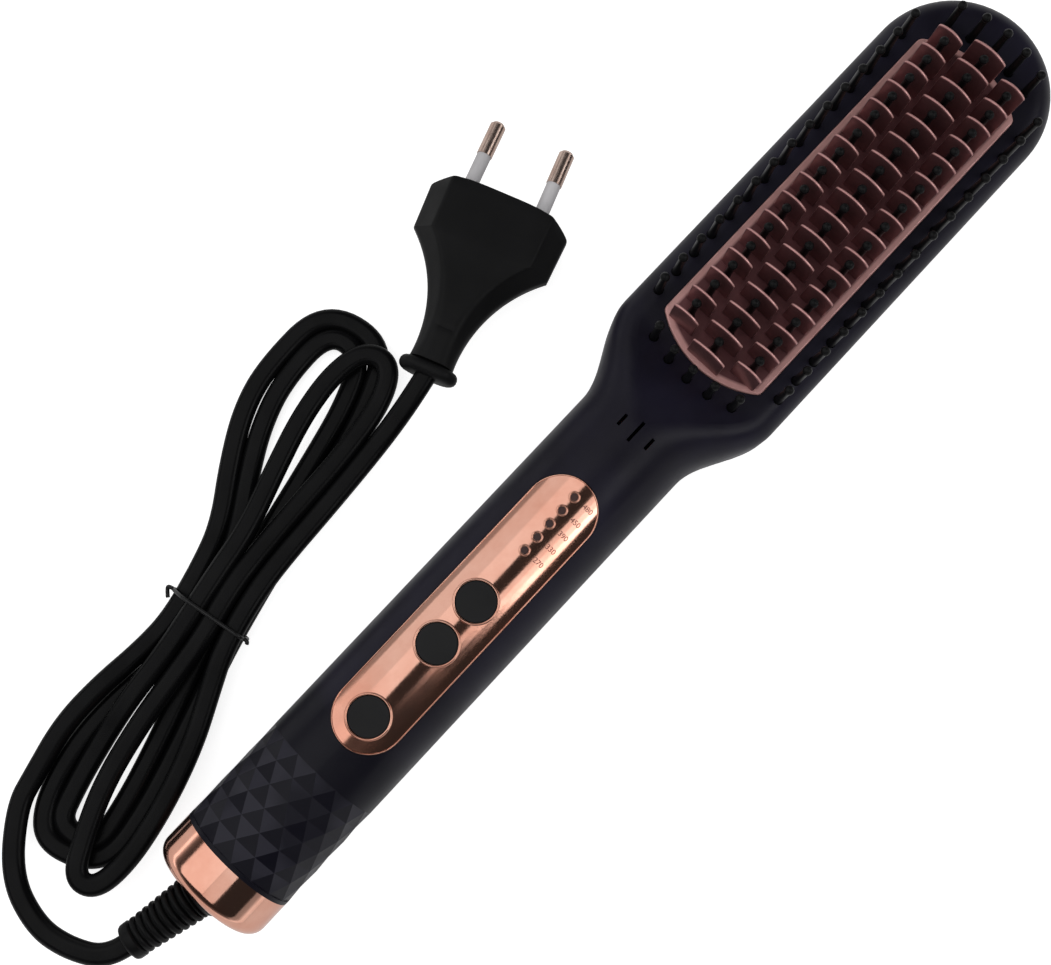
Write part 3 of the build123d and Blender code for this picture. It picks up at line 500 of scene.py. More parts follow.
def combZones(tree, place):
    # Masks on the plate's top face: its margin outside the rows of fins, which gets the painted highlight, and
    # its floor among them, which gets painted shade
    centre = (combTones["centre"] * mm, 0, 0)
    middle = addNode(tree, "ShaderNodeVectorMath", {0: place, 1: centre}, operation="SUBTRACT")
    mirrored = addNode(tree, "ShaderNodeVectorMath", {0: middle.outputs[0]}, operation="ABSOLUTE")
    x, y, z = axes(tree, mirrored.outputs[0])
    endLine = maths(tree, "MULTIPLY_ADD", maths(tree, "POWER", y, 2.0), combTones["endBulge"], x)
    atEnd = spread(tree, endLine, 0.0, 1.0, *(edge * mm for edge in combTones["end"]))
    atSide = spread(tree, y, 0.0, 1.0, *(edge * mm for edge in combTones["side"]))
    low = spread(tree, z, 1.0, 0.0, *(edge * mm for edge in combTones["floor"]))
    margin = maths(tree, "MULTIPLY", maths(tree, "MAXIMUM", atEnd, atSide), low)
    return margin, maths(tree, "SUBTRACT", low, margin)


def combFinish():
    # Satin coating: deep plum on the fins, with painted shade on the floor between them and a painted highlight,
    # paler and less metallic, on the crests and the outer margin
    material, tree, shader, place = newMaterial("combCoating")
    cloud = noise(tree, place, combTones["patches"], 5, 0.6)
    blend = spread(tree, cloud, 0, 1)
    crest = addNode(tree, "ShaderNodeAttribute", attribute_name="crest").outputs["Fac"]
    margin, floor = combZones(tree, place)
    paintedHighlight = maths(tree, "MAXIMUM", margin, crest)
    deep, light, paintedShade = (mixColour(tree, blend, *combTones[tone]) for tone in ("deep", "paintedHighlight", "paintedShade"))
    setInputs(tree, shader, {
        "Base Color": mixColour(tree, paintedHighlight, mixColour(tree, floor, deep, paintedShade), light),
        "Metallic": spread(tree, paintedHighlight, *combTones["metallic"], 0.0, 1.0),
        "Roughness": spread(tree, cloud, *combTones["rough"]),
        "Normal": bump(tree, noise(tree, place, combTones["grain"], 3), combTones["depth"])})
    return material


def shadeGrip(material):
    # On the faceted grip light and shade are painted: the grip gets painted shade, and facets that lean towards
    # +X get a painted highlight, in patches
    tree = material.node_tree
    colour = tree.nodes["Principled BSDF"].inputs["Base Color"]
    plain = colour.links[0].from_socket
    place = addNode(tree, "ShaderNodeTexCoord").outputs["Object"]
    grip = spread(tree, axes(tree, place)["X"], 1.0, 0.0, *(edge * mm for edge in gripTones["edge"]))
    normal = addNode(tree, "ShaderNodeNewGeometry").outputs["True Normal"]
    leaning = spread(tree, axes(tree, normal)["X"], 0, 1, *gripTones["lean"])
    patch = spread(tree, noise(tree, place, gripTones["patches"], 1), *gripTones["patchShare"])
    tone = maths(tree, "MULTIPLY", leaning, maths(tree, "MULTIPLY", grip, patch))
    shaded = mixColour(tree, grip, plain, gripTones["shaded"])
    tree.links.new(mixColour(tree, tone, shaded, gripTones["lit"]), colour)


finishes = {"combCoating": combFinish()}
for make, tones in ((mouldedFinish, mouldedTones), (metalFinish, metalTones)):
    finishes.update({name: make(name, *values) for name, values in tones.items()})
shadeGrip(finishes["bodyPlastic"])

nodesByFinish = {
    "bodyPlastic": "front_shell back_shell",
    "rosePlating": "end_cap control_panel",
    "lampWindow": "light_guide",
    "keyPlastic": "power_key minus_key plus_key",
    "combCoating": "comb_plate",
    "bristleNylon": "inner_bristle_board outer_bristle_frame",
    "bootRubber": "cord_boot swivel_ball",
    "cordJacket": "cord_lead cord_hank cord_tail",
    "tieCoat": "cord_tie",
    "plugPlastic": "plug_body",
    "sleevePlastic": "pin_sleeves",
    "plugMetal": "plug_pins",
    "stemPlastic": "power_switch_stem minus_switch_stem plus_switch_stem swivel_retainer",
    "mica": "heat_sheet",
    "heaterCeramic": "ceramic_heaters",
    "padRubber": "heater_pads",
    "redWire": "heater_leads sensor_leads mains_leads indicator_lamps",
    "circuitLacquer": "circuit_board",
    "chipEpoxy": "control_chip power_triac tact_switches contact_block",
    "blueFilm": "filter_capacitor",
    "steel": "thermal_cutout shell_screws circuit_screws comb_screws frame_screws",
    "brass": "thermistor mains_fuse slip_rings",
}
for finish, names in nodesByFinish.items():
    for name in names.split():
        setMaterial(nodes[name], finishes[finish])
setMaterial(cordPiece, finishes["cordJacket"])
print("materials set")


# Wire tie round the hank's waist

tie = {
    "wire": 1.0, "along": -2.0, "slant": 0.1, "slack": 0.3, "smoothness": 8, "roundSteps": 10,
    "edges": {"left": 11.2, "right": -9.8, "between": 0.0},      # the outer strands' sides at the tie
    # The loop's points: an edge and the shift from it, a level of the wire and the rise above it
    "loop": (("right", 2.4, "low", 0), ("left", -2.4, "low", 0), ("left", 0, "low", 0),
             ("left", 0, "low", 2.4), ("left", -0.3, "middle", 0), ("left", -3.2, "high", -0.9),
             ("left", -5.0, "high", 0), ("between", 4, "high", 0), ("between", -6, "high", 0),
             ("right", 0.8, "high", 0), ("right", 0, "high", -1.6), ("right", 0, "low", 2.4),
             ("right", 0, "low", 0)),
    # Its bent ends: edge, level and rise, outward sign, then shifts along, outwards and up
    "ears": (("left", "middle", -1.0, 1, ((0, -0.5, 0), (0.2, 1.3, 0.2), (-0.7, 1.3, -0.2),
                                          (-2.4, 0.2, -0.6))),
             ("right", "high", -2.4, -1, ((0, -0.5, 0), (0.2, 1.3, 0.2), (-0.7, 1.3, -0.2)))),
}


def makeTie():
    low = tie["wire"] / 2
    middle = low + cord["underTie"] + cord["thickness"]
    levels = {"low": low, "middle": middle, "high": middle + cord["layerHeight"] + tie["slack"]}
    section = circlePoints(tie["wire"] * mm / 2, tie["roundSteps"])
    loop = [(tie["edges"][edge] + shift, levels[level] + rise) for edge, shift, level, rise in tie["loop"]]
    points = inMetres([hankPoint(tie["along"] + tie["slant"] * v, v, z) for v, z in loop])
    line = splineLine("tieLine", points, tie["smoothness"], cyclic=True)
    parts = [sweep("tieLoop", line, section, cyclic=True)]
    for edge, level, rise, side, shifts in tie["ears"]:
        v, z = tie["edges"][edge], levels[level] + rise
        u = tie["along"] + tie["slant"] * v
        points = inMetres([hankPoint(u + along, v + side * out, z + up) for along, out, up in shifts])
        parts.append(sweep("tieEar", splineLine("earLine", points, tie["smoothness"]), section))
    return joined("wireTie", parts)


tiePiece = makeTie()
shadeSmooth(tiePiece.data, 60)
setMaterial(tiePiece, finishes["tieCoat"])
print("tie made")


# Comb: plate with its holes, and three rows of fins

comb = {
    "centre": 73.8, "halfWidth": 15.05, "halfLength": 50.6, "bulge": 5.2, "corner": 2.0,
    "low": 20.4, "top": 24.5, "edge": 0.45, "flange": 1.5, "flangeTop": 21.95, "wall": 1.3, "under": 22.9,
    "arcSteps": 20, "cornerSteps": 5, "edgeSteps": 4,
    "rows": ((16, 7.2, 9.6), (17, 9.4, 0), (16, 7.2, -9.6)),      # fins, their width, the row's middle line
    "pitch": 6.1, "finThickness": 0.8, "finTop": 36.0, "finArch": 1.5, "finEdge": 0.3, "finCorner": 0.9,
    "finSink": 0.4, "finSteps": (4, 8, 3),      # of its corners, its crown and its soft edges
    "holeRadius": 1.25, "drillLength": 4.0, "drillSides": 20,
}


def plateOutline(offset, z):
    # Straight sides, bulging ends, rounded corners; the offset moves every point outwards
    half, bulge, corner = comb["halfWidth"], comb["bulge"], comb["corner"]
    bend = (half ** 2 + bulge ** 2) / (2 * bulge)
    arcCentre = comb["halfLength"] - bend
    # The corner circle touches the side line and the end arc from inside
    cy = half - corner
    cx = arcCentre + math.sqrt((bend - corner) ** 2 - cy ** 2)
    direction = math.atan2(cy, cx - arcCentre)
    steps, radius = comb["cornerSteps"], corner + offset
    points = arc((arcCentre, 0), bend + offset, -direction, direction, comb["arcSteps"])
    points += arc((cx, cy), radius, direction, math.pi / 2, steps, range(1, steps + 1))
    points += arc((-cx, cy), radius, math.pi / 2, math.pi - direction, steps, range(steps))
    points += [(-x, -y) for x, y in points]
    return inMetres([(comb["centre"] + x, y, z) for x, y in points])


def centred(count, pitch):
    return [pitch * (i - (count - 1) / 2) for i in range(count)]


def innerPlaces():
    # One bristle in the middle of every gap between two fins
    pitch = comb["pitch"]
    return [(comb["centre"] + x, y) for fins, width, y in comb["rows"] for x in centred(fins - 1, pitch)]


def pointObject(name, places, z):
    mesh = bpy.data.meshes.new(name)
    mesh.from_pydata(inMetres([(x, y, z) for x, y in places]), [], [])
    return addToScene(name, mesh)


def makePlateBody():
    edge, top, steps = comb["edge"], comb["top"], comb["edgeSteps"]
    rings = [(-comb["wall"], comb["under"]), (-comb["wall"], comb["low"]), (comb["flange"], comb["low"]),
             (comb["flange"], comb["flangeTop"]), (0, comb["flangeTop"])]
    rings += arc((-edge, top - edge), edge, 0, math.pi / 2, steps)
    return loft("combPlate", [plateOutline(offset, z) for offset, z in rings], None)


def makeFin(name, width):
    # One fin: arched top with round corners, all its edges softened
    half, top = width / 2, comb["finTop"] - comb["top"]
    arch, edge, thick, corner = comb["finArch"], comb["finEdge"], comb["finThickness"] / 2, comb["finCorner"]
    bend = (half ** 2 + arch ** 2) / (2 * arch)
    centreZ, cornerY = top - bend, half - corner
    cornerZ = centreZ + math.sqrt((bend - corner) ** 2 - cornerY ** 2)
    direction = math.atan2(cornerZ - centreZ, cornerY)
    cornerSteps, crownSteps, edgeSteps = comb["finSteps"]

    def directed(centre, radius, *turn):
        # Each point on the arc with its outward direction
        return list(zip(arc(centre, radius, *turn), arc((0, 0), 1, *turn)))

    flank = [((half, -comb["finSink"]), (1, 0)), *directed((cornerY, cornerZ), corner, 0, direction, cornerSteps)]
    crown = directed((0, centreZ), bend, direction, math.pi - direction, crownSteps, range(1, crownSteps))
    outline = [*flank, *crown, *[((-y, z), (-ny, nz)) for (y, z), (ny, nz) in reversed(flank)]]
    rounding = arc((thick - edge, -edge), edge, 0, math.pi / 2, edgeSteps)
    rings = []
    for side, course in ((-1, rounding), (1, reversed(rounding))):
        for x, depth in course:
            rings.append(inMetres([(side * x, y + ny * depth, z + nz * depth) for (y, z), (ny, nz) in outline]))
    fin = loft(name, rings, 50)
    # The crest value marks each fin's rim for the painted highlight on it
    crest = fin.data.attributes.new("crest", "FLOAT", "POINT")
    marked = range(edgeSteps * len(outline), (edgeSteps + 2) * len(outline))
    for i, mark in enumerate(crest.data):
        mark.value = 1.0 if i in marked else 0.0
    return fin


def drillTree():
    tree, source = newTree("combHoles", Object="Places", Float="Radius, Depth")
    values = {"Vertices": comb["drillSides"], "Radius": source["Radius"], "Depth": source["Depth"]}
    drill = addNode(tree, "GeometryNodeMeshCylinder", values).outputs["Mesh"]
    drills = copies(tree, shapeOf(tree, source["Places"]), drill)
    real = addNode(tree, "GeometryNodeRealizeInstances", {"Geometry": drills}).outputs[0]
    both = {"Mesh 1": source["Geometry"], "Mesh 2": real}
    cut = addNode(tree, "GeometryNodeMeshBoolean", both, operation="DIFFERENCE", solver="EXACT")
    return endTree(tree, source, cut.outputs[0])


def finRowTree():
    tree, source = newTree("combFins", Object="Fin", Int="Fins", Float="Pitch, First X, Row Y, Foot Z")
    start = vector(tree, X=source["First X"], Y=source["Row Y"], Z=source["Foot Z"])
    row = pointRow(tree, source["Fins"], start, vector(tree, X=source["Pitch"]))
    fins = copies(tree, row, shapeOf(tree, source["Fin"]))
    return endTree(tree, source, fins, source["Geometry"])


def makeComb():
    plate = makePlateBody()
    coating = finishes["combCoating"]
    holes = pointObject("holePlaces", innerPlaces(), (comb["top"] + comb["under"]) / 2)
    applyTree(plate, drillTree(), {
        "Places": holes, "Radius": comb["holeRadius"], "Depth": comb["drillLength"], "Material": coating})
    fins = {width: makeFin("fin", width) for width in sorted({row[1] for row in comb["rows"]})}
    tree = finRowTree()
    for count, width, y in comb["rows"]:
        first = comb["centre"] - comb["pitch"] * (count - 1) / 2
        applyTree(plate, tree, {
            "Fin": fins[width], "Fins": count, "Pitch": comb["pitch"], "First X": first,
            "Row Y": y, "Foot Z": comb["top"], "Material": coating})
    settle(plate, 42)
    for extra in [holes, *fins.values()]:
        bpy.data.objects.remove(extra)
    return plate


combPiece = makeComb()
setMaterial(combPiece, finishes["combCoating"])
print("comb made,", len(combPiece.data.polygons), "faces")


# Bristles: 46 between the fins on one board, 40 round the comb on a ring

bristles = {
    "top": 37.0, "root": 1.1, "tip": 0.8, "ball": 1.15, "sink": 0.3, "sides": 14, "ballRings": 9,
    "boardLow": 18.1, "boardTop": 19.9, "boardEdge": 0.3, "boardGap": 0.02,
    "ring": (0.3, 5.45, 18.4, 20.4),      # inner and outer offset from the comb's outline, low, top
    "sideCount": 15, "sidePitch": 6.16, "sideOffset": 18.9,
    "arcCount": 5, "arcPitch": 6.1, "arcReach": 54.45, "arcBend": 34.0,
}


def outerPlaces():
    places = []
    for side in (1, -1):
        for x in centred(bristles["sideCount"], bristles["sidePitch"]):
            places.append((comb["centre"] + x, side * bristles["sideOffset"]))
        for y in centred(bristles["arcCount"], bristles["arcPitch"]):
            sag = bristles["arcBend"] - math.sqrt(bristles["arcBend"] ** 2 - y ** 2)
            places.append((comb["centre"] + side * (bristles["arcReach"] - sag), y))
    return places


def bristleTree():
    tree, source = newTree("bristleField", Object="Places",
                           Float="Height, Root Radius, Tip Radius, Ball Radius")
    reach = maths(tree, "SUBTRACT", source["Height"], source["Ball Radius"])
    stalk = addNode(tree, "GeometryNodeMeshCone", {
        "Vertices": bristles["sides"], "Depth": reach,
        "Radius Top": source["Tip Radius"], "Radius Bottom": source["Root Radius"]}).outputs["Mesh"]
    ball = addNode(tree, "GeometryNodeMeshUVSphere", {
        "Segments": bristles["sides"], "Rings": bristles["ballRings"],
        "Radius": source["Ball Radius"]}).outputs["Mesh"]
    lift = {"Geometry": ball, "Translation": vector(tree, Z=reach)}
    bristle = joinNodes(tree, stalk, addNode(tree, "GeometryNodeTransform", lift).outputs[0])
    field = copies(tree, shapeOf(tree, source["Places"]), bristle)
    return endTree(tree, source, field, source["Geometry"])


def makeBristles():
    edge, low, top = bristles["boardEdge"], bristles["boardLow"], bristles["boardTop"]
    slab = ((-edge, low), (0, low + edge), (0, top - edge), (-edge, top))
    board = loft("innerBristles", [plateOutline(offset - bristles["boardGap"], z) for offset, z in slab], None)
    inner, outer, low, top = bristles["ring"]
    around = ((inner, low), (outer, low), (outer, top), (inner, top), (inner, low))
    ring = loft("outerBristles", [plateOutline(offset, z) for offset, z in around], None, closed=False)
    tree, nylon = bristleTree(), finishes["bristleNylon"]
    for piece, places, foot in ((board, innerPlaces(), bristles["boardTop"]), (ring, outerPlaces(), top)):
        foot -= bristles["sink"]
        points = pointObject("bristlePlaces", places, foot)
        applyTree(piece, tree, {
            "Places": points, "Height": bristles["top"] - foot, "Root Radius": bristles["root"],
            "Tip Radius": bristles["tip"], "Ball Radius": bristles["ball"], "Material": nylon})
        settle(piece, 50)
        bpy.data.objects.remove(points)
        setMaterial(piece, nylon)
    return board, ring


innerBristles, outerBristles = makeBristles()
print("bristles made")


# Ribbed strain relief on its ball, made along local Z and laid along the swivel's line

boot = {
    "length": 24.3, "foot": 4.9, "root": 5.4, "end": 4.5, "core": 4.4, "coreEnd": 3.7,
    "start": 4.3, "shoulder": 6.2, "collar": 2.8, "axisHole": 0.05,
    "ribs": 8, "ribRound": 0.72, "sides": 48, "ribSides": 12, "centre": (-136.9, 0.0, 15.0), "tilt": 11.7,
}


def ribTree():
    tree, source = newTree("bootRibs", Int="Ribs",
                           Float="Pitch, First Z, Root Radius, End Radius, Rib Width")
    row = pointRow(tree, source["Ribs"], vector(tree, Z=source["First Z"]), vector(tree, Z=source["Pitch"]))
    path, section = (addNode(tree, "GeometryNodeCurvePrimitiveCircle", {
        "Resolution": boot[sides], "Radius": source[radius]}).outputs["Curve"]
        for sides, radius in (("sides", "Root Radius"), ("ribSides", "Rib Width")))
    ring = addNode(tree, "GeometryNodeCurveToMesh", {"Curve": path, "Profile Curve": section}).outputs[0]
    index = addNode(tree, "GeometryNodeInputIndex").outputs[0]
    taper = spread(tree, index, source["Root Radius"], source["End Radius"], 0.0, source["Ribs"])
    ratio = maths(tree, "DIVIDE", taper, source["Root Radius"])
    ribs = copies(tree, row, ring, Scale=vector(tree, X=ratio, Y=ratio, Z=1.0))
    return endTree(tree, source, ribs, source["Geometry"])


def makeBoot():
    length, start, shoulder, root, end, hole = (
        boot[key] for key in ("length", "start", "shoulder", "root", "end", "axisHole"))
    collar = length - boot["collar"]
    # Height along the swivel's line, and radius
    profile = ((start, hole), (start, boot["foot"]), (shoulder - 0.1, boot["foot"]), (shoulder, root - 0.3),
               (shoulder + 0.3, root), (shoulder + 0.6, root - 0.1), (shoulder + 0.9, boot["core"]),
               (collar - 0.3, boot["coreEnd"]), (collar, end - 0.3), (collar + 0.3, end),
               (length - 0.8, end - 0.05), (length - 0.25, end - 0.35), (length, end - 0.9), (length, hole))
    rings = [inMetres([(x, y, z) for x, y in circlePoints(radius, boot["sides"])]) for z, radius in profile]
    piece = loft("strainRelief", rings, 45)
    pitch = (collar - shoulder - 0.9) / boot["ribs"]
    width, rubber = boot["ribRound"], finishes["bootRubber"]
    applyTree(piece, ribTree(), {
        "Ribs": boot["ribs"], "Pitch": pitch, "First Z": shoulder + 0.8 + pitch / 2,
        "Root Radius": root - width, "End Radius": end - width, "Rib Width": width, "Material": rubber})
    settle(piece, 45)
    tilt = math.radians(boot["tilt"])
    matrix = Vector((-math.cos(tilt), math.sin(tilt), 0)).to_track_quat("Z", "Y").to_matrix().to_4x4()
    matrix.translation = Vector(boot["centre"]) * mm
    piece.data.transform(matrix)
    turnOutward(piece.data)
    setMaterial(piece, rubber)
    return piece


bootPiece = makeBoot()
print("strain relief made")


# Plug: rounded sections from the face between the pins to the collar at the cord

plug = {
    "front": (22.5, 61.8, 7.3), "heading": 20.0, "tilt": 5.0, "halfWidth": 17.65, "halfThick": 6.85,
    "bulge": 2.6, "bulgePower": 4, "wide": 12.3, "length": 42.3, "frontGrow": 0.45,
    "bevel": 4.9, "side": 1.2, "edge": 0.6, "frontSteps": 4, "wideSteps": 6,
    "neckHalf": 5.6, "neckThick": 4.2, "neckBevel": 2.2, "neckSide": 1.8, "neckEdge": 1.6,
    "flare": (-23.0, 9.4), "flareSteps": 44, "flareSpread": 1.15,
    "grooveAt": -34.0, "grooveDepth": 0.35, "grooveWidth": 0.45, "grooveHalf": 4, "grooveShift": 0.8,
    "grooveBand": 0.1,       # how far below the top face it still cuts
    "collarHalf": 7.4, "collarThick": 4.0, "collarSection": (2.4, 1.2, 2.0),
    # the collar's rings: how far behind the neck, and how far inside its full size
    "collar": ((0.1, 1.3), (0.3, 0.7), (0.7, 0.25), (1.3, 0), (2.1, 0), (2.7, 0.25), (3.1, 0.7), (3.4, 1.3)),
    "cornerSteps": 4, "flatSteps": 8, "cutShare": 0.45,
}


def circleThrough(*points):
    # Centre and radius
    (ax, ay, a), (bx, by, b), (cx, cy, c) = ((x, y, x * x + y * y) for x, y in points)
    d = 2 * (ax * (by - cy) + bx * (cy - ay) + cx * (ay - by))
    x = (a * (by - cy) + b * (cy - ay) + c * (ay - by)) / d
    y = (a * (cx - bx) + b * (ax - cx) + c * (bx - ax)) / d
    return x, y, math.hypot(ax - x, ay - y)


def plugSection(x, half, thick, bevel, side, edge, bulge=0.0):
    # A flat section with a bevel at both sides; the bulge pushes its middle forwards
    upper = [(half, side), (half - bevel, thick), (bevel - half, thick), (-half, side)]
    corners = [Vector(corner) for corner in upper + [(-y, -z) for y, z in upper]]
    steps, flats = plug["cornerSteps"], plug["flatSteps"]
    points = []
    for i, here in enumerate(corners):
        back, on = corners[i - 1] - here, corners[(i + 1) % len(corners)] - here
        limit = plug["cutShare"] * on.length
        cut = min(edge, plug["cutShare"] * back.length, limit)
        first, last = here + back.normalized() * cut, here + on.normalized() * cut
        for k in range(steps + 1):
            share = k / steps
            points.append(first.lerp(here, share).lerp(here.lerp(last, share), share))
        end = here + on - on.normalized() * min(edge, limit)
        points += [last.lerp(end, k / flats) for k in range(1, flats)]
    reach, power = plug["halfWidth"], plug["bulgePower"]
    return [Vector((x + bulge * (1 - (abs(y) / reach) ** power), y, z)) for y, z in points]


def plugMatrix():
    heading, tilt = math.radians(plug["heading"]), math.radians(plug["tilt"])
    out = Vector((math.cos(heading) * math.cos(tilt), math.sin(heading) * math.cos(tilt), -math.sin(tilt)))
    across = Vector((-math.sin(heading), math.cos(heading), 0))
    return placeMatrix((out, across, out.cross(across)), plug["front"])


def makePlug():
    half, thick, wide, edge, length, bulge, bevel, side, grow = (plug[key] for key in (
        "halfWidth", "halfThick", "wide", "edge", "length", "bulge", "bevel", "side", "frontGrow"))
    rings = []
    for x, depth in arc((-edge, -edge), edge, 0, math.pi / 2, plug["frontSteps"]):
        rings.append(plugSection(x, half + grow + depth, thick + depth, bevel, side, edge, bulge))
    for i in range(1, plug["wideSteps"] + 1):
        share = i / plug["wideSteps"]
        x, y = -edge - (wide - edge) * share, half + grow * (1 - share)
        rings.append(plugSection(x, y, thick, bevel, side, edge, bulge * (1 - share)))
    flareX, flareY, flareR = circleThrough((-wide, half), plug["flare"], (-length, plug["neckHalf"]))
    wideSection = Vector((thick, bevel, side, edge))
    neckSection = Vector([plug[key] for key in ("neckThick", "neckBevel", "neckSide", "neckEdge")])
    for i in range(1, plug["flareSteps"] + 1):
        share = (i / plug["flareSteps"]) ** plug["flareSpread"]
        x = -wide - (length - wide) * share
        y = flareY - math.sqrt(flareR ** 2 - (x - flareX) ** 2)
        section = wideSection.lerp(neckSection, share)
        ring = plugSection(x, y, *section)
        groove = plug["grooveDepth"] * math.exp(-((x - plug["grooveAt"]) / plug["grooveWidth"]) ** 2)
        for point in ring:
            if point.z > section[0] - plug["grooveBand"]:
                reach = plug["grooveHalf"] - abs(point.y + plug["grooveShift"])
                point.z -= groove * min(1, max(0, reach))
        rings.append(ring)
    for behind, inset in plug["collar"]:
        sizes = plug["collarHalf"] - inset, plug["collarThick"] - inset
        rings.append(plugSection(-length - behind, *sizes, *plug["collarSection"]))
    matrix = plugMatrix()
    return loft("plugShell", [[(matrix @ p) * mm for p in ring] for ring in rings], 32)


plugPiece = makePlug()
setMaterial(plugPiece, finishes["plugPlastic"])
print("plug made")


# Plain heat numbers beside the lamps, laid on the panel's curve

numbers = {
    "texts": ("270", "330", "390", "450", "480"), "firstX": -35.7, "pitch": 4.1, "middleY": -4.2,
    "textSize": 1.82, "resolution": 3, "weld": 1e-5,
    "radius": 15.2, "axis": 15.0, "raised": 0.03, "sunk": 0.05,
}
lampPlaces = [numbers["firstX"] + numbers["pitch"] * i for i in range(len(numbers["texts"]))]


def solidText(text):
    # One number as a thin solid, and which of its vertices are on top
    curve = bpy.data.curves.new("number", "FONT")
    curve.body = text
    curve.align_x = curve.align_y = "CENTER"
    curve.size = numbers["textSize"]
    curve.resolution_u = numbers["resolution"]
    source = addToScene("number", curve)
    bpy.context.view_layer.update()
    mesh = bpy.data.meshes.new_from_object(source)
    bpy.data.objects.remove(source)
    work = bmesh.new()
    work.from_mesh(mesh)
    bmesh.ops.remove_doubles(work, verts=work.verts, dist=numbers["weld"])
    grown = bmesh.ops.extrude_face_region(work, geom=work.faces[:])
    return mesh, work, {v for v in grown["geom"] if isinstance(v, bmesh.types.BMVert)}


def makeNumbers():
    parts = []
    for x, text in zip(lampPlaces, numbers["texts"]):
        mesh, work, top = solidText(text)
        for vertex in work.verts:
            level = numbers["radius"] + (numbers["raised"] if vertex in top else -numbers["sunk"])
            turn = (vertex.co.x - numbers["middleY"]) / numbers["radius"]
            place = (x + vertex.co.y, -level * math.sin(turn), numbers["axis"] + level * math.cos(turn))
            vertex.co = Vector(place) * mm
        bmesh.ops.recalc_face_normals(work, faces=work.faces)
        work.to_mesh(mesh)
        work.free()
        parts.append(addToScene("number", mesh))
    return joined("heatNumbers", parts)


numberPiece = makeNumbers()
setMaterial(numberPiece, finishes["numberInk"])
print("numbers made")


# Rounded bright edges of the panel, and of its rims round keys and lamps

trim = {
    "centre": -54.8, "halfLength": 39.45, "halfWidth": 8.45, "radius": 15.2, "axis": 15.0, "edge": 0.17,
    "steps": 48, "straightSteps": 12, "keys": (-86.1, -64.2, -51.5),
    "keyRing": (5.06, 0.34, 30.42), "lampRing": (1.17, 0.22, 30.36),      # radius, wire radius, height
}


def makeTrim():
    steps, straight, width = trim["steps"], trim["straightSteps"], trim["halfWidth"]
    end = trim["halfLength"] - width
    outline = arc((end, 0), width, -math.pi / 2, math.pi / 2, steps // 2)
    outline += [(end - 2 * end * i / straight, width) for i in range(1, straight)]
    outline += [(-x, -y) for x, y in outline]
    # The panel lies on the handle's round top
    line = inMetres([(trim["centre"] + x, y, trim["axis"] + math.sqrt(trim["radius"] ** 2 - y ** 2))
                     for x, y in outline])
    parts = [sweep("panelEdge", line, circlePoints(trim["edge"] * mm, tie["roundSteps"]), cyclic=True)]
    for places, (radius, wire, height) in ((trim["keys"], trim["keyRing"]), (lampPlaces, trim["lampRing"])):
        section = circlePoints(wire * mm, tie["roundSteps"])
        for place in places:
            circle = inMetres([(place + x, y, height) for x, y in circlePoints(radius, steps)])
            parts.append(sweep("rim", circle, section, cyclic=True))
    return joined("panelTrim", parts)


trimPiece = makeTrim()
shadeSmooth(trimPiece.data, 60)
setMaterial(trimPiece, finishes["rosePlating"])
print("panel trim made")


# Floor, world and lamps

studio = {
    "floorHalf": 3.0, "floorDrop": 0.0002, "floorGlow": 0.8, "glossGlow": 0.28,
    "floorShade": (0.5, 0.5, 0.5, 1), "worldLight": (0.5, 0.5, 0.5, 1),
    # height of the direction, brightness
    "sky": ((0.0, 1.0), (0.08, 0.9), (0.2, 0.15), (0.4, 0.03), (1.0, 0.03)),
    # from and to angle off the vertical towards +Y, from and to X, brightness
    "softboxes": {
        "broad": (2, 30, -0.18, 0.3, 1.12),
        "broadLow": (30, 58, -0.18, 0.3, 0.9),
        "narrowNear": (-29, -20, -0.09, 1.0, 1.2),
        "narrowMiddle": (-38, -29, -0.05, 1.0, 1.8),
        "narrowFar": (-47, -38, -0.01, 1.0, 3.2),
        "capBroad": (2, 62, -1.0, -0.18, 1.22),
        "capSide": (84, 96, -1.0, -0.18, 0.8),
        "capEnd": (-24, 0, -1.0, -0.28, 0.95),
        "sideLeft": (58, 88, -0.18, 1.0, 0.35),
        "sideRight": (-85, -68, -1.0, 1.0, 0.25),
    },
    "reach": 1.0, "middle": 0.015,
}


def rayFactor(tree):
    # 1 for what the camera sees directly, in gloss or through glass
    rays = addNode(tree, "ShaderNodeLightPath").outputs
    seen = maths(tree, "MAXIMUM", rays["Is Camera Ray"], rays["Is Glossy Ray"])
    return maths(tree, "MAXIMUM", seen, rays["Is Transmission Ray"])


def makeWorld():
    # White low down and dark overhead for reflections, one plain level for the light
    world = bpy.data.worlds.new("studio")
    scene.world = world
    world.use_nodes = True
    tree = world.node_tree
    direction = axes(tree, addNode(tree, "ShaderNodeTexCoord").outputs["Generated"])
    ramp = addNode(tree, "ShaderNodeValToRGB", {"Fac": direction["Z"]})
    stops = ramp.color_ramp.elements
    while len(stops) < len(studio["sky"]):
        stops.new(0.5)
    for stop, (height, level) in zip(stops, studio["sky"]):
        stop.position = height
        stop.color = (level, level, level, 1)
    levels = {0: rayFactor(tree), 6: studio["worldLight"], 7: ramp.outputs["Color"]}
    mixed = addNode(tree, "ShaderNodeMix", levels, data_type="RGBA").outputs[2]
    setInputs(tree, tree.nodes["Background"], {"Color": mixed})


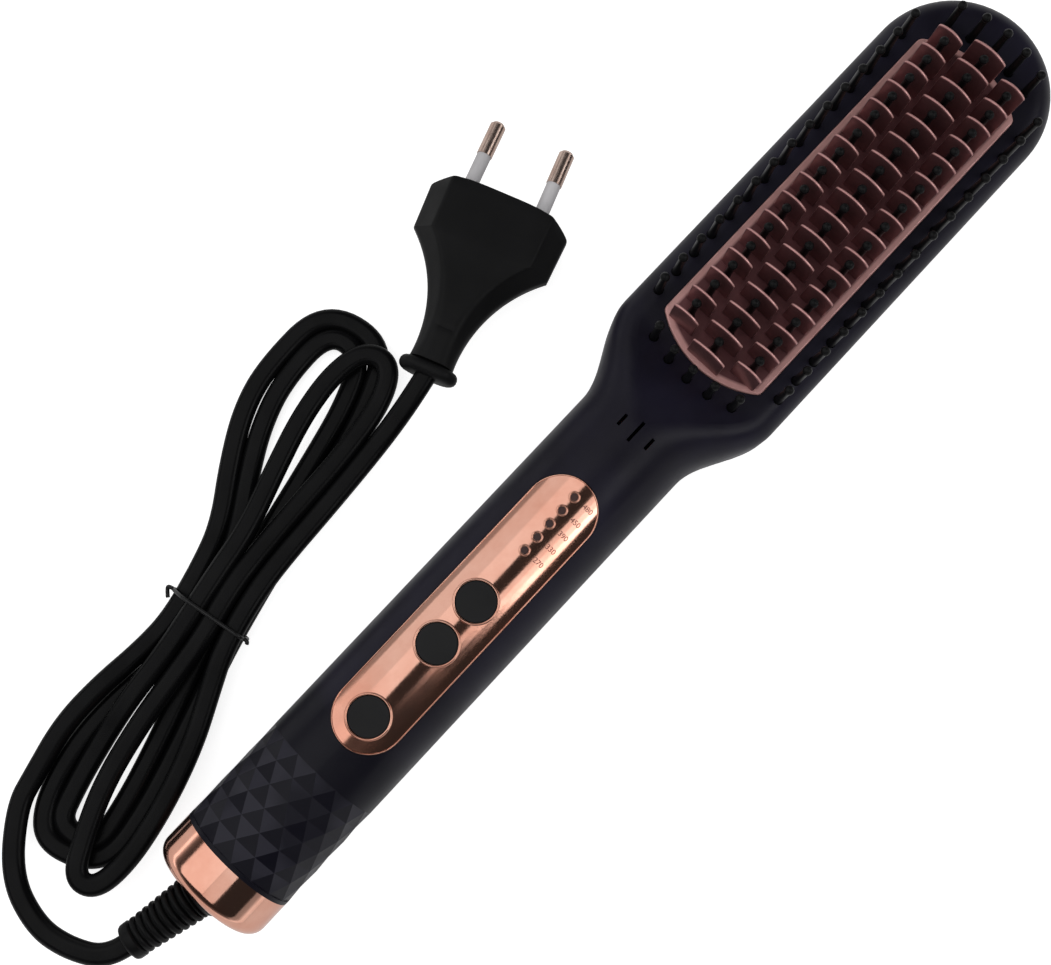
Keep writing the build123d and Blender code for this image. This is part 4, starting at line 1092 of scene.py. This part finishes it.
def makeFloor():
    # Plain white to the eye, mid grey for the light that it throws back
    half = studio["floorHalf"]
    square = ((-half, -half), (half, -half), (half, half), (-half, half))
    floor = newObject("floor", [(x, y, -studio["floorDrop"]) for x, y in square], [(0, 1, 2, 3)])
    material, tree, shader, place = newMaterial("floorWhite")
    tree.nodes.clear()
    diffuse = addNode(tree, "ShaderNodeBsdfDiffuse", {"Color": studio["floorShade"]})
    gloss = addNode(tree, "ShaderNodeLightPath").outputs["Is Glossy Ray"]
    level = spread(tree, gloss, studio["floorGlow"], studio["glossGlow"], 0.0, 1.0)
    power = maths(tree, "MULTIPLY", rayFactor(tree), level)
    glow = addNode(tree, "ShaderNodeEmission", {"Color": (1, 1, 1, 1), "Strength": power})
    both = addNode(tree, "ShaderNodeAddShader", {0: diffuse.outputs[0], 1: glow.outputs[0]})
    addNode(tree, "ShaderNodeOutputMaterial", {"Surface": both.outputs[0]})
    setMaterial(floor, material)


def makeSoftbox(name, fromAngle, toAngle, fromX, toX, level):
    # A flat lamp that faces the brush's long axis; its power gives the stated brightness
    middle = math.radians((fromAngle + toAngle) / 2)
    half = math.radians((toAngle - fromAngle) / 2)
    data = bpy.data.lights.new(name, "AREA")
    data.shape = "RECTANGLE"
    data.size = toX - fromX
    data.size_y = 2 * studio["reach"] * math.tan(half)
    data.energy = level * math.pi * data.size * data.size_y
    obj = addToScene(name, data)
    out = Vector((0, math.sin(middle), math.cos(middle)))
    obj.location = Vector(((fromX + toX) / 2, 0, studio["middle"])) + out * studio["reach"]
    obj.rotation_euler = (-out).to_track_quat("-Z", "Y").to_euler()
    obj.visible_camera = False


makeWorld()
makeFloor()
for name, values in studio["softboxes"].items():
    makeSoftbox(name, *values)
print("studio made")


# What each piece rides on, its slot, and the nodes that it stands for

for piece, body, slot, *stands in (
        (cordPiece, "brush", "cord_jacket", "cord_lead", "cord_hank", "cord_tail"),
        (tiePiece, "brush", "tie_jacket", "cord_tie"),
        (combPiece, "brush", "rose_comb", "comb_plate"),
        (innerBristles, "brush", "bristle_plastic", "inner_bristle_board"),
        (outerBristles, "brush", "bristle_plastic", "outer_bristle_frame"),
        (plugPiece, "brush", "plug_plastic", "plug_body"),
        (bootPiece, "cord_swivel", "cord_rubber", "cord_boot"),
        (numberPiece, "brush", None),
        (trimPiece, "brush", None)):
    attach(piece, body)
    if stands:
        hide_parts(*stands)
